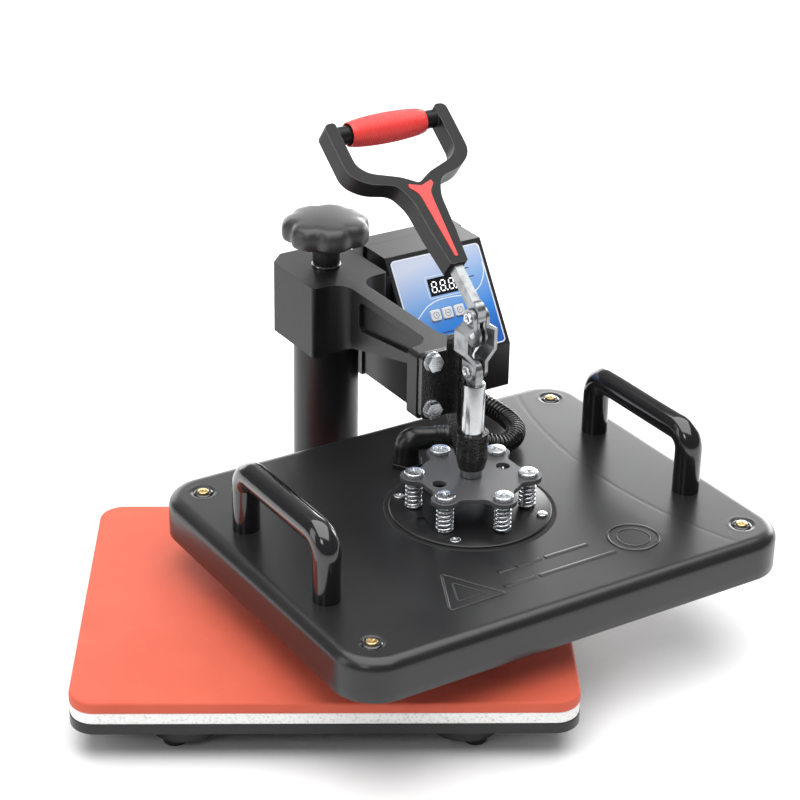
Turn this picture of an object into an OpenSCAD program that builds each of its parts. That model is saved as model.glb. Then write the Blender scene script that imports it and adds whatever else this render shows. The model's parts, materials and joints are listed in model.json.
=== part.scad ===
// Swing-away heat press: a fixed stand with a padded lower platen, a column, a swinging
// arm with a toggle lever, and a sprung upper heat platen with its control box.
// The bench is z = 0. Parts of the arm are drawn in the arm's own frame, with the press
// rod on its z axis and the column behind it at y = arm_reach, then swung into place.

/* [Lower platen] */
// Width of the pad, along X
pad_w = 380; // [300:1:420]
// Depth of the pad, along Y
pad_d = 300; // [240:1:320]
// Thickness of the silicone pad
pad_t = 9; // [5:0.5:12]
// Thickness of the insulation board under the pad
board_t = 9.5; // [6:0.5:12]
// Height of the tray's rim
tray_h = 8.5; // [6:0.5:12]
// Height of the base legs
leg_h = 15; // [12:1:20]
// Height of the rubber feet
foot_h = 9; // [6:1:15]

/* [Column and arm] */
// Diameter of the column
column_dia = 56; // [50:1:60]
// Distance from the column's axis to the press rod's axis
arm_reach = 227; // [220:1:240]
// Angle that the arm stands swung away from the pad
swing_rest = 30.3; // [0:0.1:60]
// Width of the arm's clamping block
block_w = 72; // [70:1:80]
// Diameter of the pressure knob
knob_dia = 76; // [60:1:84]

/* [Upper platen] */
// Width of the platen's cover
cover_w = 400; // [380:1:410]
// Depth of the platen's cover
cover_d = 320; // [310:1:330]
// Height of the platen's cover
cover_h = 34; // [30:1:40]
// Thickness of the cover's sheet
cover_t = 1.5; // [1:0.1:2]
// Gap between the pad and the heating plate with the lever open
work_gap = 28.3; // [28.3:0.1:40]
// Thickness of the heating plate
plate_t = 12; // [8:1:12]
// Diameter of the circle that carries the spring bolts
spring_pcd = 90; // [84:1:100]

/* [Toggle] */
// Height of the lever's fixed pivot above the pad
pivot_rise = 216; // [214:1:220]
// Crank radius from the fixed pivot to the links' upper pivot
crank_r = 14; // [13:0.5:14]
// Length of the links between their pivots
link_len = 44.5; // [44:0.5:46]
// Angle that the open lever leans back from upright
lever_lean = 52.5; // [48:0.5:56]
// Distance from the lever's bend to the handle's crossbar
bar_dist = 171; // [160:1:180]

/* [Control box] */
// Width of the control box
box_w = 97; // [90:1:110]
// Height of the control box
box_h = 120; // [116:1:124]

/* [Hidden] */
$fn = 64;
eps = 0.01;
fit_gap = 0.05;

leg_top = foot_h + leg_h;
tray_top = leg_top + tray_h;
board_top = tray_top + board_t;
pad_top = board_top + pad_t;
pad_r = 20;
foot_places = [[-113, -122], [113, -122], [-38, 240], [38, 240]];

column_y = arm_reach;
column_r = column_dia / 2;
column_bore_r = column_r - 4;
column_flange_t = 8;
column_top = pad_top + 164;

block_bottom = pad_top + 127;
block_top = pad_top + 139 + 51;
block_cap = 19;
block_half_d = 40;
socket_top = block_top - block_cap;
washer_t = 3;
post_top = socket_top - washer_t;
screw_r = 8;
knob_bottom = block_top + 24;
knob_t = 18;

plate_bottom = pad_top + work_gap;
plate_top = plate_bottom + plate_t;
element_z = plate_top + 4.1;
cover_bottom = plate_bottom + 1.2;
cover_top = cover_bottom + cover_h;
cover_under = cover_top - cover_t;
cover_r = 35;
cover_edge = 10;
corner_x = 170.5;
corner_y = 130;

disc_r = 65;
disc_t = 2;
disc_top = cover_top + disc_t;
disc_screw_r = 58;
spring_h = 24;
spring_r = 7;
spring_plate_t = 4;
spring_plate_z = disc_top + spring_h;
spring_plate_top = spring_plate_z + spring_plate_t;
bolt_r = 4;
head_r = 8;

rod_r = 8.75;
sleeve_bottom = pad_top + 101;
sleeve_top = pad_top + 132;
pivot_z = pad_top + pivot_rise;
link_top_z = pivot_z + crank_r;
link_bottom_z = link_top_z - link_len;
rod_top = link_bottom_z - 11.5;
bend_z = pivot_z + 20;
lever_half = 3.6;
lever_depth = 10;
lever_len = 92;
lever_slope = 90 - lever_lean;
handle_t = 17;
crossbar_r = 7.4;
crossbar_half = 46;
link_inner = 4.2;
link_outer = 7.2;
bulge_inner = 12;
bulge_outer = 15;
rivet_head_t = 1.9;
ear_half = 1.3;
flange_half_w = 30;
flange_front = 36;
flange_back = 50;
bracket_t = 6;
bracket_w = 58;
flange_bottom = pad_top + 134;
bolt_px = 20;
bolt_low = pad_top + 144;
bolt_high = pad_top + 185;

handle_x = 168;
handle_y = 62;
handle_r = 11;
handle_axis_z = cover_top + 51;
handle_bend = 15;

box_x = 45;
box_z = pad_top + 74;
box_top = box_z + box_h;
box_front = 154;
box_back = 256;
panel_foot = box_z + 40;
panel_head_y = 206;
panel_lean = atan((panel_head_y - box_front) / (box_top - panel_foot));
panel_len = norm([panel_head_y - box_front, box_top - panel_foot]);
box_wall = 2.5;
mount_front = 195;
mount_depth = 42;
mount_screw_z = [block_bottom + 22, block_bottom + 42];
case_screw_y = 226;
block_screw_y = 206;
button_row_x = -4;
button_row_y = 38;
button_spacing = 12;
button_half = 5;
button_gap = 0.4;
display_y = 62;
display_w = 30;
display_h = 15.5;
label_margin = 3.5;
label_foot = 2;
label_head = 4;

elbow_at = [-4, 88];
elbow_z = cover_top + 23.5;
elbow_turn = -25;
elbow_len = 34;
conduit_dia = 16;
gland_x = 90;
gland_z = box_z + 12;
gland_len = 12;

// Right half of the D-handle's outline, from the lever's end round to the crotch: x, y, rounding
handle_half = [
    [7.6, 38, 1.5], [11, 68, 8], [12.8, 98, 6], [20, 114, 7], [43, 119.5, 8], [56, 131, 8.5],
    [56, 179, 6], [45.5, 179, 3], [45.5, 138, 5], [38, 129, 6], [13, 120.5, 5]
];
inlay_half = [
    [1.3, 44, 0.9], [4.6, 98, 2.8], [5.6, 103.5, 2.5], [11, 109.5, 1.2], [10.5, 113, 1.2]
];

// Centre line of the conduit, from the control box's gland to the elbow, in the arm's frame
conduit_points = [
    [90, 142, 137],
    [93, 128, 133],
    [99, 112, 129],
    [101, 95, 126],
    [97, 78, 124.6],
    [86, 65, 124.6],
    [71, 58, 127],
    [57, 59, 131.5],
    [42, 65.5, 136.3],
    [26.8, 73.6, 138]
];

// Puts the whole model's footprint centre at x = y = 0
origin_shift = [-82.5, -64.8, 0];

// ---- Shared shapes ----

function unit(v) = v / norm(v);

module rounded_rect(w, d, r) {
    square([w - 2 * r, d], center = true);
    square([w, d - 2 * r], center = true);
    for (sx = [-1, 1], sy = [-1, 1])
        translate([sx * (w / 2 - r), sy * (d / 2 - r)]) circle(r);
}

module slab(w, d, r, z0, z1) {
    translate([0, 0, z0]) linear_extrude(z1 - z0) rounded_rect(w, d, r);
}

// Rounded block with a rounded top edge
module domed_slab(w, d, r, edge, z0, z1) {
    hull()
        for (sx = [-1, 1], sy = [-1, 1])
            translate([sx * (w / 2 - r), sy * (d / 2 - r), z0])
                rotate_extrude($fn = 32)
                    intersection() {
                        square([r, z1 - z0]);
                        union() {
                            square([r, z1 - z0 - edge]);
                            square([r - edge, z1 - z0]);
                            translate([r - edge, z1 - z0 - edge]) circle(edge, $fn = 32);
                        }
                    }
}

module ring(outer_r, inner_r, z0, z1) {
    translate([0, 0, z0])
        difference() {
            cylinder(r = outer_r, h = z1 - z0);
            translate([0, 0, -1]) cylinder(r = inner_r, h = z1 - z0 + 2);
        }
}

module post(r, z0, z1) {
    translate([0, 0, z0]) cylinder(r = r, h = z1 - z0);
}

module hex_bolt(head_af, head_h, shank_r, shank_l) {
    cylinder(r = head_af / 2 / cos(30), h = head_h, $fn = 6);
    translate([0, 0, -shank_l]) cylinder(r = shank_r, h = shank_l + eps);
}

// A profile drawn in Y and Z, given a width along X
module across(half_w) {
    rotate([90, 0, 90]) translate([0, 0, -half_w]) linear_extrude(2 * half_w) children();
}

// A profile drawn in X and Z, given a depth along Y
module along(y0, y1) {
    translate([0, y1, 0]) rotate([90, 0, 0]) linear_extrude(y1 - y0) children();
}

module origin() {
    translate(origin_shift) children();
}

// Carries the arm's own frame to its place over the stand
module arm_frame() {
    origin()
        translate([0, column_y, 0])
            rotate([0, 0, swing_rest])
                translate([0, -arm_reach, 0]) children();
}

module at_column() {
    origin() translate([0, column_y, 0]) children();
}

module around_spring_circle() {
    for (a = [30:60:330]) rotate([0, 0, a]) translate([spring_pcd / 2, 0, 0]) children();
}

// ---- Stand ----

module leg_shape() {
    front = [-105, -110];
    rear = [-26, 235];
    hull() {
        translate(front) circle(29);
        translate(rear) circle(29);
    }
}

module base_frame() {
    color([0.06, 0.06, 0.065])
        origin()
            difference() {
                translate([0, 0, foot_h])
                    union() {
                        for (side = [0, 1]) mirror([side, 0, 0]) linear_extrude(leg_h) leg_shape();
                        translate([-50, 206, 0]) cube([100, 58, leg_h]);
                    }
                for (x = [-38, 38], y = [-32, 32])
                    translate([x, column_y + y, foot_h - 1]) cylinder(r = 4, h = leg_h + 2);
            }
}

module rubber_feet() {
    color([0.05, 0.05, 0.05])
        origin()
            for (p = foot_places) translate([p[0], p[1], 0]) cylinder(r1 = 9, r2 = 10, h = foot_h);
}

module column_flange() {
    color([0.06, 0.06, 0.065])
        at_column()
            difference() {
                slab(100, 88, 10, leg_top, leg_top + column_flange_t);
                for (x = [-38, 38], y = [-32, 32])
                    translate([x, y, leg_top - 1]) cylinder(r = 4.2, h = column_flange_t + 2);
            }
}

module column_bolts() {
    color("silver")
        at_column()
            for (x = [-38, 38], y = [-32, 32])
                translate([x, y, leg_top + column_flange_t]) hex_bolt(13, 5.5, 3.9, 20);
}

module column_tube() {
    color([0.07, 0.07, 0.075])
        at_column() ring(column_r, column_bore_r, leg_top + column_flange_t, column_top);
}

module lift_nut() {
    color([0.75, 0.6, 0.3])
        at_column() ring(column_bore_r - fit_gap, screw_r + fit_gap, 130, 150);
}

module lift_post() {
    color([0.6, 0.6, 0.62])
        at_column() ring(column_bore_r - fit_gap, screw_r + 0.5, 155, post_top);
}

module thrust_washer() {
    color([0.7, 0.6, 0.35])
        at_column() ring(column_r - 3, screw_r + 0.5, post_top, socket_top);
}

tray_screw_places = [[-84, -60], [84, -60], [-48, 90], [48, 90]];

module lower_tray() {
    color([0.05, 0.05, 0.055])
        origin()
            difference() {
                slab(pad_w, pad_d, pad_r, leg_top, tray_top);
                slab(pad_w - 5, pad_d - 5, pad_r - 2.5, leg_top + 3, tray_top + 1);
                for (p = tray_screw_places)
                    translate([p[0], p[1], leg_top - 1]) cylinder(r = 2.7, h = 6);
            }
}

module tray_screws() {
    color("silver")
        origin()
            for (p = tray_screw_places)
                translate([p[0], p[1], leg_top + 3]) cylinder(r1 = 5, r2 = 4, h = 2);
}

module insulation_board() {
    color([0.93, 0.93, 0.91])
        origin()
            difference() {
                union() {
                    slab(pad_w - 5.4, pad_d - 5.4, pad_r - 2.7, leg_top + 3, tray_top);
                    slab(pad_w - 1, pad_d - 1, pad_r - 0.5, tray_top, board_top);
                }
                for (p = tray_screw_places)
                    translate([p[0], p[1], leg_top]) cylinder(r = 6, h = 6);
            }
}

module silicone_pad() {
    color([0.9, 0.3, 0.2])
        origin() slab(pad_w, pad_d, pad_r, board_top, pad_top);
}

// ---- Pressure adjuster ----

module knob_profile() {
    polygon([
        [0, knob_bottom], [14, knob_bottom], [knob_dia / 2 - 4, knob_bottom],
        [knob_dia / 2, knob_bottom + 3.5], [knob_dia / 2, knob_bottom + knob_t - 5],
        [knob_dia / 2 - 4, knob_bottom + knob_t - 0.5], [24, knob_bottom + knob_t + 1.5],
        [0, knob_bottom + knob_t + 3]
    ]);
}

module pressure_knob() {
    color([0.1, 0.1, 0.105])
        at_column()
            difference() {
                union() {
                    rotate_extrude() knob_profile();
                    post(11, block_top + 0.5, knob_bottom + eps);
                }
                for (k = [0:6])
                    rotate([0, 0, 360 / 7 * k])
                        translate([knob_dia / 2 + 6.5, 0, knob_bottom - 1])
                            cylinder(r = 10, h = knob_t + 6);
                post(screw_r + fit_gap, block_top, knob_bottom + 8);
            }
}

module pressure_screw() {
    color([0.6, 0.6, 0.62])
        at_column() post(screw_r, 128, knob_bottom + 8);
}

module knob_ring() {
    color("silver")
        at_column() ring(12.4, 11.1, block_top + 0.5, block_top + 2);
}

// ---- Arm ----

module block_outline() {
    chamfer = 14;
    front = arm_reach - block_half_d;
    back = arm_reach + block_half_d + 1;
    half = block_w / 2;
    offset(r = 3) offset(delta = -3)
        polygon([
            [-half, front], [half, front], [half, back - chamfer], [half - chamfer, back],
            [-half + chamfer, back], [-half, back - chamfer]
        ]);
}

module arm_plan(half) {
    front = arm_reach - block_half_d;
    flare = 18;
    polygon(concat(
        [[-half - flare, front + 2], [half + flare, front + 2]],
        [for (a = [0:10:90])
            [half + flare * (1 - sin(a)), front - flare * (1 - cos(a)) * 0.9]],
        [for (a = [90:-10:0])
            [half + flare * (1 - sin(a)), flange_back + flare * (1 - cos(a)) * 0.9]],
        [[half + flare, flange_back - 2], [-half - flare, flange_back - 2]],
        [for (a = [0:10:90])
            [-half - flare * (1 - sin(a)), flange_back + flare * (1 - cos(a)) * 0.9]],
        [for (a = [90:-10:0])
            [-half - flare * (1 - sin(a)), front - flare * (1 - cos(a)) * 0.9]]
    ));
}

// Side view of the arm's pockets, in Y and Z
module pocket_outline() {
    offset(r = 5) offset(delta = -5)
        polygon([
            [64, block_top - 7], [160, block_top - 7], [160, block_bottom + 30],
            [72, block_top - 22]
        ]);
}

module arm_casting() {
    color([0.08, 0.08, 0.085])
        arm_frame()
            difference() {
                union() {
                    translate([0, 0, block_bottom])
                        linear_extrude(block_top - block_bottom) block_outline();
                    intersection() {
                        translate([0, 0, block_bottom])
                            linear_extrude(block_top - block_bottom) arm_plan(7.5);
                        across(40)
                            polygon([
                                [flange_back - 3, block_top], [190, block_top],
                                [190, block_bottom], [172, block_bottom + 9],
                                [84, block_top - 32], [flange_back - 3, block_top - 36]
                            ]);
                    }
                    along(flange_front, flange_back)
                        translate([0, (flange_bottom + block_top) / 2])
                            rounded_rect(2 * flange_half_w, block_top - flange_bottom, 4);
                }
                for (side = [0, 1])
                    mirror([side, 0, 0])
                        translate([3.5, 0, 0])
                            rotate([90, 0, 90]) linear_extrude(12) pocket_outline();
                translate([0, arm_reach, block_bottom - 1])
                    cylinder(r = column_r + fit_gap, h = socket_top - block_bottom + 1);
                translate([0, arm_reach, socket_top - 1])
                    cylinder(r = 11.6, h = block_cap + 2);
                for (sx = [-bolt_px, bolt_px], z = [bolt_low, bolt_high])
                    translate([sx, flange_front - 1, z])
                        rotate([-90, 0, 0]) cylinder(r = 4, h = flange_back);
                for (z = mount_screw_z)
                    translate([block_w / 2 - 7, block_screw_y, z])
                        rotate([0, 90, 0]) cylinder(r = 2.5, h = 10);
            }
}

module web_profile() {
    polygon([
        [31, pivot_z - 77], [31, pivot_z - 12], [22, pivot_z - 8], [13.5, pivot_z - 6],
        [13.5, sleeve_top + 4], [10, sleeve_top - 1], [10, sleeve_bottom + 5],
        [15, sleeve_bottom + 5]
    ]);
}

module ear_profile() {
    polygon([
        [0, pivot_z - 8], [0, pivot_z + 8], [6, pivot_z + 8], [20, pivot_z - 4],
        [20, pivot_z - 17], [14, pivot_z - 11]
    ]);
    translate([0, pivot_z]) circle(8);
}

module toggle_bracket() {
    color([0.03, 0.03, 0.03])
        arm_frame()
            difference() {
                union() {
                    along(flange_front - bracket_t, flange_front)
                        translate([0, (bolt_low + bolt_high) / 2 - 1])
                            rounded_rect(bracket_w, bolt_high - bolt_low + 15, 5);
                    across(6) web_profile();
                    across(ear_half) ear_profile();
                    translate([0, 0, sleeve_bottom])
                        cylinder(r1 = 10.6, r2 = 12.5, h = 8);
                    post(12.5, sleeve_bottom + 8, sleeve_top);
                }
                post(rod_r + fit_gap, sleeve_bottom - 1, sleeve_top + 1);
                translate([-10, 0, pivot_z]) rotate([0, 90, 0]) cylinder(r = 4, h = 20);
                for (sx = [-bolt_px, bolt_px], z = [bolt_low, bolt_high])
                    translate([sx, flange_front - 10, z])
                        rotate([-90, 0, 0]) cylinder(r = 4.2, h = 12);
            }
}

module at_bracket_bolts(y) {
    for (sx = [-bolt_px, bolt_px], z = [bolt_low, bolt_high])
        translate([sx, y, z]) rotate([90, 0, 0]) children();
}

module bracket_bolts() {
    color("silver")
        arm_frame() at_bracket_bolts(flange_front - bracket_t - 1.5) hex_bolt(13, 5.3, 3.9, 20);
}

module bracket_washers() {
    color("silver")
        arm_frame() at_bracket_bolts(flange_front - bracket_t) ring(8, 4, 0, 1.5);
}

module lever_pivot_pin() {
    color("silver")
        arm_frame()
            translate([-lever_half - 0.4, 0, pivot_z])
                rotate([0, 90, 0]) cylinder(r = 3.97, h = 2 * lever_half + 0.8);
}

// ---- Control box ----

module box_profile(wall) {
    w = wall;
    polygon([
        [box_front + w, box_z + w], [box_back - 18, box_z + w], [box_back - 18, box_top - w],
        [panel_head_y + w * 0.6, box_top - w], [box_front + w, panel_foot - w * 0.3]
    ]);
}

// Carries a panel's own frame to the slanted face: x across, y up the slope, z outwards
module on_panel() {
    translate([box_x + box_w / 2, box_front, panel_foot])
        rotate([90 - panel_lean, 0, 0]) children();
}

// Outline of a key, or of its opening with that gap round it
module key_outline(gap) {
    side = 2 * (button_half + gap);
    rounded_rect(side, side, 1.8 + gap);
}

module control_case() {
    color([0.09, 0.09, 0.095])
        arm_frame()
            difference() {
                translate([box_x, 0, 0])
                    rotate([90, 0, 90]) linear_extrude(box_w) box_profile(0);
                translate([box_x + box_wall, 0, 0])
                    rotate([90, 0, 90]) linear_extrude(box_w - 2 * box_wall)
                        union() {
                            box_profile(box_wall);
                            translate([box_back - 24, box_z + box_wall])
                                square([10, box_h - 2 * box_wall]);
                        }
                on_panel() {
                    translate([-display_w / 2, display_y - display_h / 2, -6])
                        cube([display_w, display_h, 12]);
                    for (k = [-1, 0, 1])
                        translate([button_row_x + k * button_spacing, button_row_y, -6])
                            linear_extrude(12) key_outline(button_gap);
                }
                translate([gland_x, box_front - 1, gland_z])
                    rotate([-90, 0, 0]) cylinder(r = 8.2, h = 6);
                for (z = mount_screw_z)
                    translate([box_x - 1, case_screw_y, z])
                        rotate([0, 90, 0]) cylinder(r = 2.7, h = 6);
            }
}

module control_back() {
    color([0.07, 0.07, 0.075])
        arm_frame()
            difference() {
                translate([box_x - 2, box_back - 17.9, box_z - 2])
                    cube([box_w + 4, 17.9, box_h + 2]);
                translate([box_x + 2, box_back - 18.9, box_z + 2])
                    cube([box_w - 4, 16.4, box_h - 6]);
                translate([box_x + 22, box_back - 4, box_z + 30]) cube([14, 6, 20]);
                translate([box_x + 56, box_back - 4, box_z + 27]) cube([27, 6, 20]);
                translate([box_x + 42, box_back - 4, box_z + 40])
                    rotate([-90, 0, 0]) cylinder(r = 6.5, h = 6);
            }
}

module case_screws() {
    color("silver")
        arm_frame()
            for (x = [box_x + 8, box_x + box_w - 8], z = [box_z + 8, box_top - 10])
                translate([x, box_back, z]) rotate([-90, 0, 0]) cylinder(r1 = 3.4, r2 = 2.6, h = 2);
}

module control_mount() {
    color([0.08, 0.08, 0.085])
        arm_frame()
            difference() {
                translate([block_w / 2, mount_front, block_bottom + 12])
                    cube([box_x - block_w / 2, mount_depth, 42]);
                for (z = mount_screw_z, y = [case_screw_y, block_screw_y])
                    translate([block_w / 2 - 1, y, z]) rotate([0, 90, 0]) cylinder(r = 2.7, h = 12);
            }
}

module panel_label() {
    color([0.35, 0.55, 0.9])
        arm_frame()
            on_panel()
                difference() {
                    translate([0, (panel_len + label_foot - label_head) / 2, 0.02])
                        linear_extrude(0.5)
                            rounded_rect(
                                box_w - 2 * label_margin, panel_len - label_foot - label_head, 4
                            );
                    translate([-display_w / 2 + 1, display_y - display_h / 2 + 1, -1])
                        cube([display_w - 2, display_h - 2, 4]);
                    for (k = [-1, 0, 1])
                        translate([button_row_x + k * button_spacing, button_row_y, -1])
                            linear_extrude(4) key_outline(button_gap);
                }
}

module display_window() {
    color([0.05, 0.05, 0.06])
        arm_frame()
            on_panel()
                translate([-display_w / 2 + 0.1, display_y - display_h / 2 + 0.1, -3])
                    cube([display_w - 0.2, display_h - 0.2, 2.9]);
}

module panel_button(k) {
    color([0.8, 0.8, 0.82])
        arm_frame()
            on_panel()
                translate([button_row_x + k * button_spacing, button_row_y, -4])
                    linear_extrude(6) key_outline(0);
}

module button_left() { panel_button(-1); }
module button_middle() { panel_button(0); }
module button_right() { panel_button(1); }

module circuit_board() {
    color([0.1, 0.35, 0.2])
        arm_frame() on_panel() translate([-38, 14, -9.6]) cube([76, 66, 1.6]);
}

module transformer() {
    color([0.55, 0.55, 0.5])
        arm_frame()
            translate([box_x + 55, box_front + 36, box_z + box_wall]) cube([32, 34, 30]);
}

module power_switch() {
    color([0.7, 0.05, 0.04])
        arm_frame()
            difference() {
                translate([box_x + 22.3, box_back - 2.2, box_z + 30.8]) cube([13.4, 4, 18.4]);
                translate([box_x + 20, box_back + 2.6, box_z + 40])
                    rotate([0, 90, 0]) cylinder(r = 1.2, h = 20);
            }
}

module power_inlet() {
    color([0.05, 0.05, 0.05])
        arm_frame()
            difference() {
                translate([box_x + 56.2, box_back - 14, box_z + 27.2]) cube([26.6, 15.6, 19.6]);
                translate([box_x + 59, box_back - 10, box_z + 30]) cube([21, 14, 14]);
            }
}

module fuse_holder() {
    color([0.06, 0.06, 0.06])
        arm_frame()
            translate([box_x + 42, box_back - 15, box_z + 40])
                rotate([-90, 0, 0]) {
                    cylinder(r = 6.3, h = 16);
                    translate([0, 0, 15]) cylinder(r = 4, h = 4);
                }
}

module conduit_gland() {
    color([0.06, 0.06, 0.065])
        arm_frame()
            translate([gland_x, box_front, gland_z])
                rotate([90, 0, 0])
                    difference() {
                        union() {
                            translate([0, 0, -4]) cylinder(r = 8, h = 5);
                            cylinder(r = 12.5, h = 5, $fn = 6);
                            translate([0, 0, 5]) cylinder(r1 = 11, r2 = 9.5, h = gland_len - 5);
                        }
                        translate([0, 0, -5]) cylinder(r = 5, h = gland_len + 6);
                    }
}

// ---- Lever ----

// Carries the handle's own frame: x across, y along the handle, z towards its front face
module on_handle() {
    translate([0, 0, bend_z]) rotate([90 - lever_lean, 0, 0]) children();
}

module lever_side(lower) {
    translate([0, bend_z]) circle(7);
    translate([0, pivot_z + crank_r]) circle(7.5);
    if (lower) {
        translate([0, pivot_z]) circle(10.5);
        translate([-7, pivot_z]) square([14, bend_z - pivot_z]);
    } else {
        translate([-7, pivot_z + 12]) square([14, bend_z - pivot_z - 12]);
    }
    translate([0, bend_z])
        rotate(lever_slope)
            translate([0, -lever_depth / 2]) square([lever_len, lever_depth]);
}

module lever_bar() {
    color([0.75, 0.77, 0.78])
        arm_frame()
            difference() {
                across(lever_half)
                    difference() {
                        lever_side(true);
                        translate([0, pivot_z]) circle(4.02);
                        translate([0, link_top_z]) circle(3.02);
                    }
                across(ear_half + 0.3)
                    translate([-20, pivot_z - 20]) square([40, 32]);
            }
}

function cut_corner(a, b, c, r) =
    let (p = b + r * unit(a - b), q = b + r * unit(c - b))
    [for (s = [0:0.2:1]) p * (1 - s) * (1 - s) + b * 2 * s * (1 - s) + q * s * s];

// Points round a closed outline whose corners are [x, y, cut], each rounded over that cut length
function soft_outline(corners) =
    let (n = len(corners), flat = [for (c = corners) [c[0], c[1]]])
    [for (i = [0:n - 1])
        each cut_corner(flat[(i + n - 1) % n], flat[i], flat[(i + 1) % n], corners[i][2])];

function mirrored(corners) = [
    for (i = [len(corners) - 1:-1:0]) [-corners[i][0], corners[i][1], corners[i][2]]
];

module handle_outline() {
    polygon(soft_outline(concat(handle_half, [[0, 112.5, 3]], mirrored(handle_half))));
}

module inlay_outline(grow) {
    offset(delta = grow)
        polygon(soft_outline(concat(inlay_half, [[0, 109.5, 2]], mirrored(inlay_half))));
}

module handle_frame() {
    color([0.09, 0.09, 0.095])
        arm_frame()
            on_handle()
                difference() {
                    union() {
                        translate([0, 0, -handle_t / 2]) linear_extrude(handle_t) handle_outline();
                        translate([-crossbar_half, bar_dist, 0])
                            rotate([0, 90, 0]) cylinder(r = crossbar_r, h = 2 * crossbar_half);
                    }
                    translate([-lever_half - 0.1, 30, -lever_depth / 2 - 0.1])
                        cube([2 * lever_half + 0.2, lever_len - 29.8, lever_depth + 0.2]);
                    translate([0, 0, handle_t / 2 - 1.2]) linear_extrude(3) inlay_outline(0.1);
                }
}

module handle_grip() {
    color([0.9, 0.15, 0.13])
        arm_frame()
            on_handle()
                translate([0, bar_dist, 0])
                    rotate([0, 90, 0])
                        rotate_extrude()
                            polygon(concat(
                                [[crossbar_r + 0.1, 34], [crossbar_r + 0.1, -34]],
                                [for (x = [-34:4:34]) [12.4 - 2.2 * pow(x / 34, 2), x]]
                            ));
}

module handle_inlay() {
    color([0.9, 0.15, 0.13])
        arm_frame()
            on_handle()
                translate([0, 0, handle_t / 2 - 1.2]) linear_extrude(1.8) inlay_outline(0);
}

module link_pin_upper() {
    color("silver")
        arm_frame()
            for (side = [0, 1])
                mirror([side, 0, 0])
                    translate([0, 0, link_top_z])
                        rotate([0, 90, 0]) {
                            cylinder(r = 2.97, h = link_outer + 1);
                            translate([0, 0, link_outer + 0.1]) cylinder(r = 5, h = rivet_head_t);
                        }
}

// ---- Links ----

module link_bulge() {
    u = link_top_z;
    l = link_bottom_z;
    polygon([
        [link_inner, u + 8], [link_outer, u + 8], [link_outer, u - 5.3],
        [bulge_outer, u - 10], [bulge_outer, l + 17], [link_outer, l + 8],
        [link_outer, l - 8], [link_inner, l - 8], [link_inner, l + 9.5],
        [bulge_inner, l + 18.5], [bulge_inner, u - 10.8], [link_inner, u - 7.4]
    ]);
}

module link_side() {
    hull() {
        translate([0, link_top_z]) circle(7.5);
        translate([0, link_bottom_z]) circle(7.5);
    }
}

module link_plate(side) {
    color([0.75, 0.77, 0.78])
        arm_frame()
            mirror([side, 0, 0])
                difference() {
                    intersection() {
                        along(-8, 8) link_bulge();
                        across(21) link_side();
                    }
                    translate([0, 0, link_top_z]) rotate([0, 90, 0]) cylinder(r = 3.02, h = 25);
                    translate([0, 0, link_bottom_z]) rotate([0, 90, 0]) cylinder(r = 3, h = 25);
                }
}

module link_left() { link_plate(1); }
module link_right() { link_plate(0); }

module link_rivets() {
    color("silver")
        arm_frame()
            for (side = [0, 1])
                mirror([side, 0, 0])
                    translate([link_inner - 0.3, 0, link_bottom_z])
                        rotate([0, 90, 0]) {
                            cylinder(r = 2.99, h = 4);
                            translate([0, 0, 3.3]) cylinder(r = 5, h = rivet_head_t);
                        }
}

// ---- Press rod ----

module press_rod() {
    color([0.8, 0.8, 0.82])
        arm_frame()
            difference() {
                union() {
                    post(rod_r, spring_plate_top, rod_top);
                    post(5.9, spring_plate_z - 9, spring_plate_top + eps);
                    across(lever_half) {
                        translate([0, link_bottom_z]) circle(7);
                        translate([-7, rod_top - 2]) square([14, link_bottom_z - rod_top + 2]);
                    }
                }
                translate([-10, 0, link_bottom_z]) rotate([0, 90, 0]) cylinder(r = 3.1, h = 20);
            }
}

module spring_plate() {
    color([0.07, 0.07, 0.075])
        arm_frame()
            difference() {
                translate([0, 0, spring_plate_z])
                    linear_extrude(spring_plate_t)
                        offset(r = -9) offset(delta = 9) {
                            circle(41);
                            around_spring_circle() circle(11);
                        }
                post(6, spring_plate_z - 1, spring_plate_top + 1);
                around_spring_circle() post(bolt_r + 0.5, spring_plate_z - 1, spring_plate_top + 1);
                for (sx = [-30, 30])
                    translate([sx, 0, 0]) post(5.5, spring_plate_z - 1, spring_plate_top + 1);
            }
}

module rod_nut() {
    color("silver")
        arm_frame()
            difference() {
                translate([0, 0, spring_plate_z - 7]) cylinder(r = 11, h = 7, $fn = 6);
                post(6, spring_plate_z - 8, spring_plate_z + 1);
            }
}

// ---- Heat platen ----

module heating_plate() {
    color([0.62, 0.64, 0.66])
        arm_frame()
            difference() {
                union() {
                    slab(pad_w, pad_d, 25, plate_bottom, plate_top);
                    around_spring_circle() post(8, plate_top - eps, cover_under);
                    for (sx = [-corner_x, corner_x], sy = [-corner_y, corner_y])
                        translate([sx, sy, 0]) post(5, plate_top - eps, cover_under);
                }
                around_spring_circle() post(bolt_r, plate_top + 4, cover_under + 1);
                for (sx = [-corner_x, corner_x], sy = [-corner_y, corner_y])
                    translate([sx, sy, 0]) post(2, plate_top + 3, cover_under + 1);
            }
}

module heating_element() {
    color([0.5, 0.45, 0.4])
        arm_frame()
            translate([0, 0, element_z]) {
                for (sy = [-1, 1])
                    translate([-90, sy * 90, 0]) rotate([0, 90, 0]) cylinder(r = 4, h = 180);
                for (sx = [-1, 1])
                    translate([sx * 130, -50, 0]) rotate([-90, 0, 0]) cylinder(r = 4, h = 100);
                for (k = [0:3])
                    rotate([0, 0, k * 180])
                        mirror([k > 1 ? 1 : 0, 0, 0])
                            translate([90, 50, 0])
                                rotate_extrude(angle = 90) translate([40, 0]) circle(4);
            }
}

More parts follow.
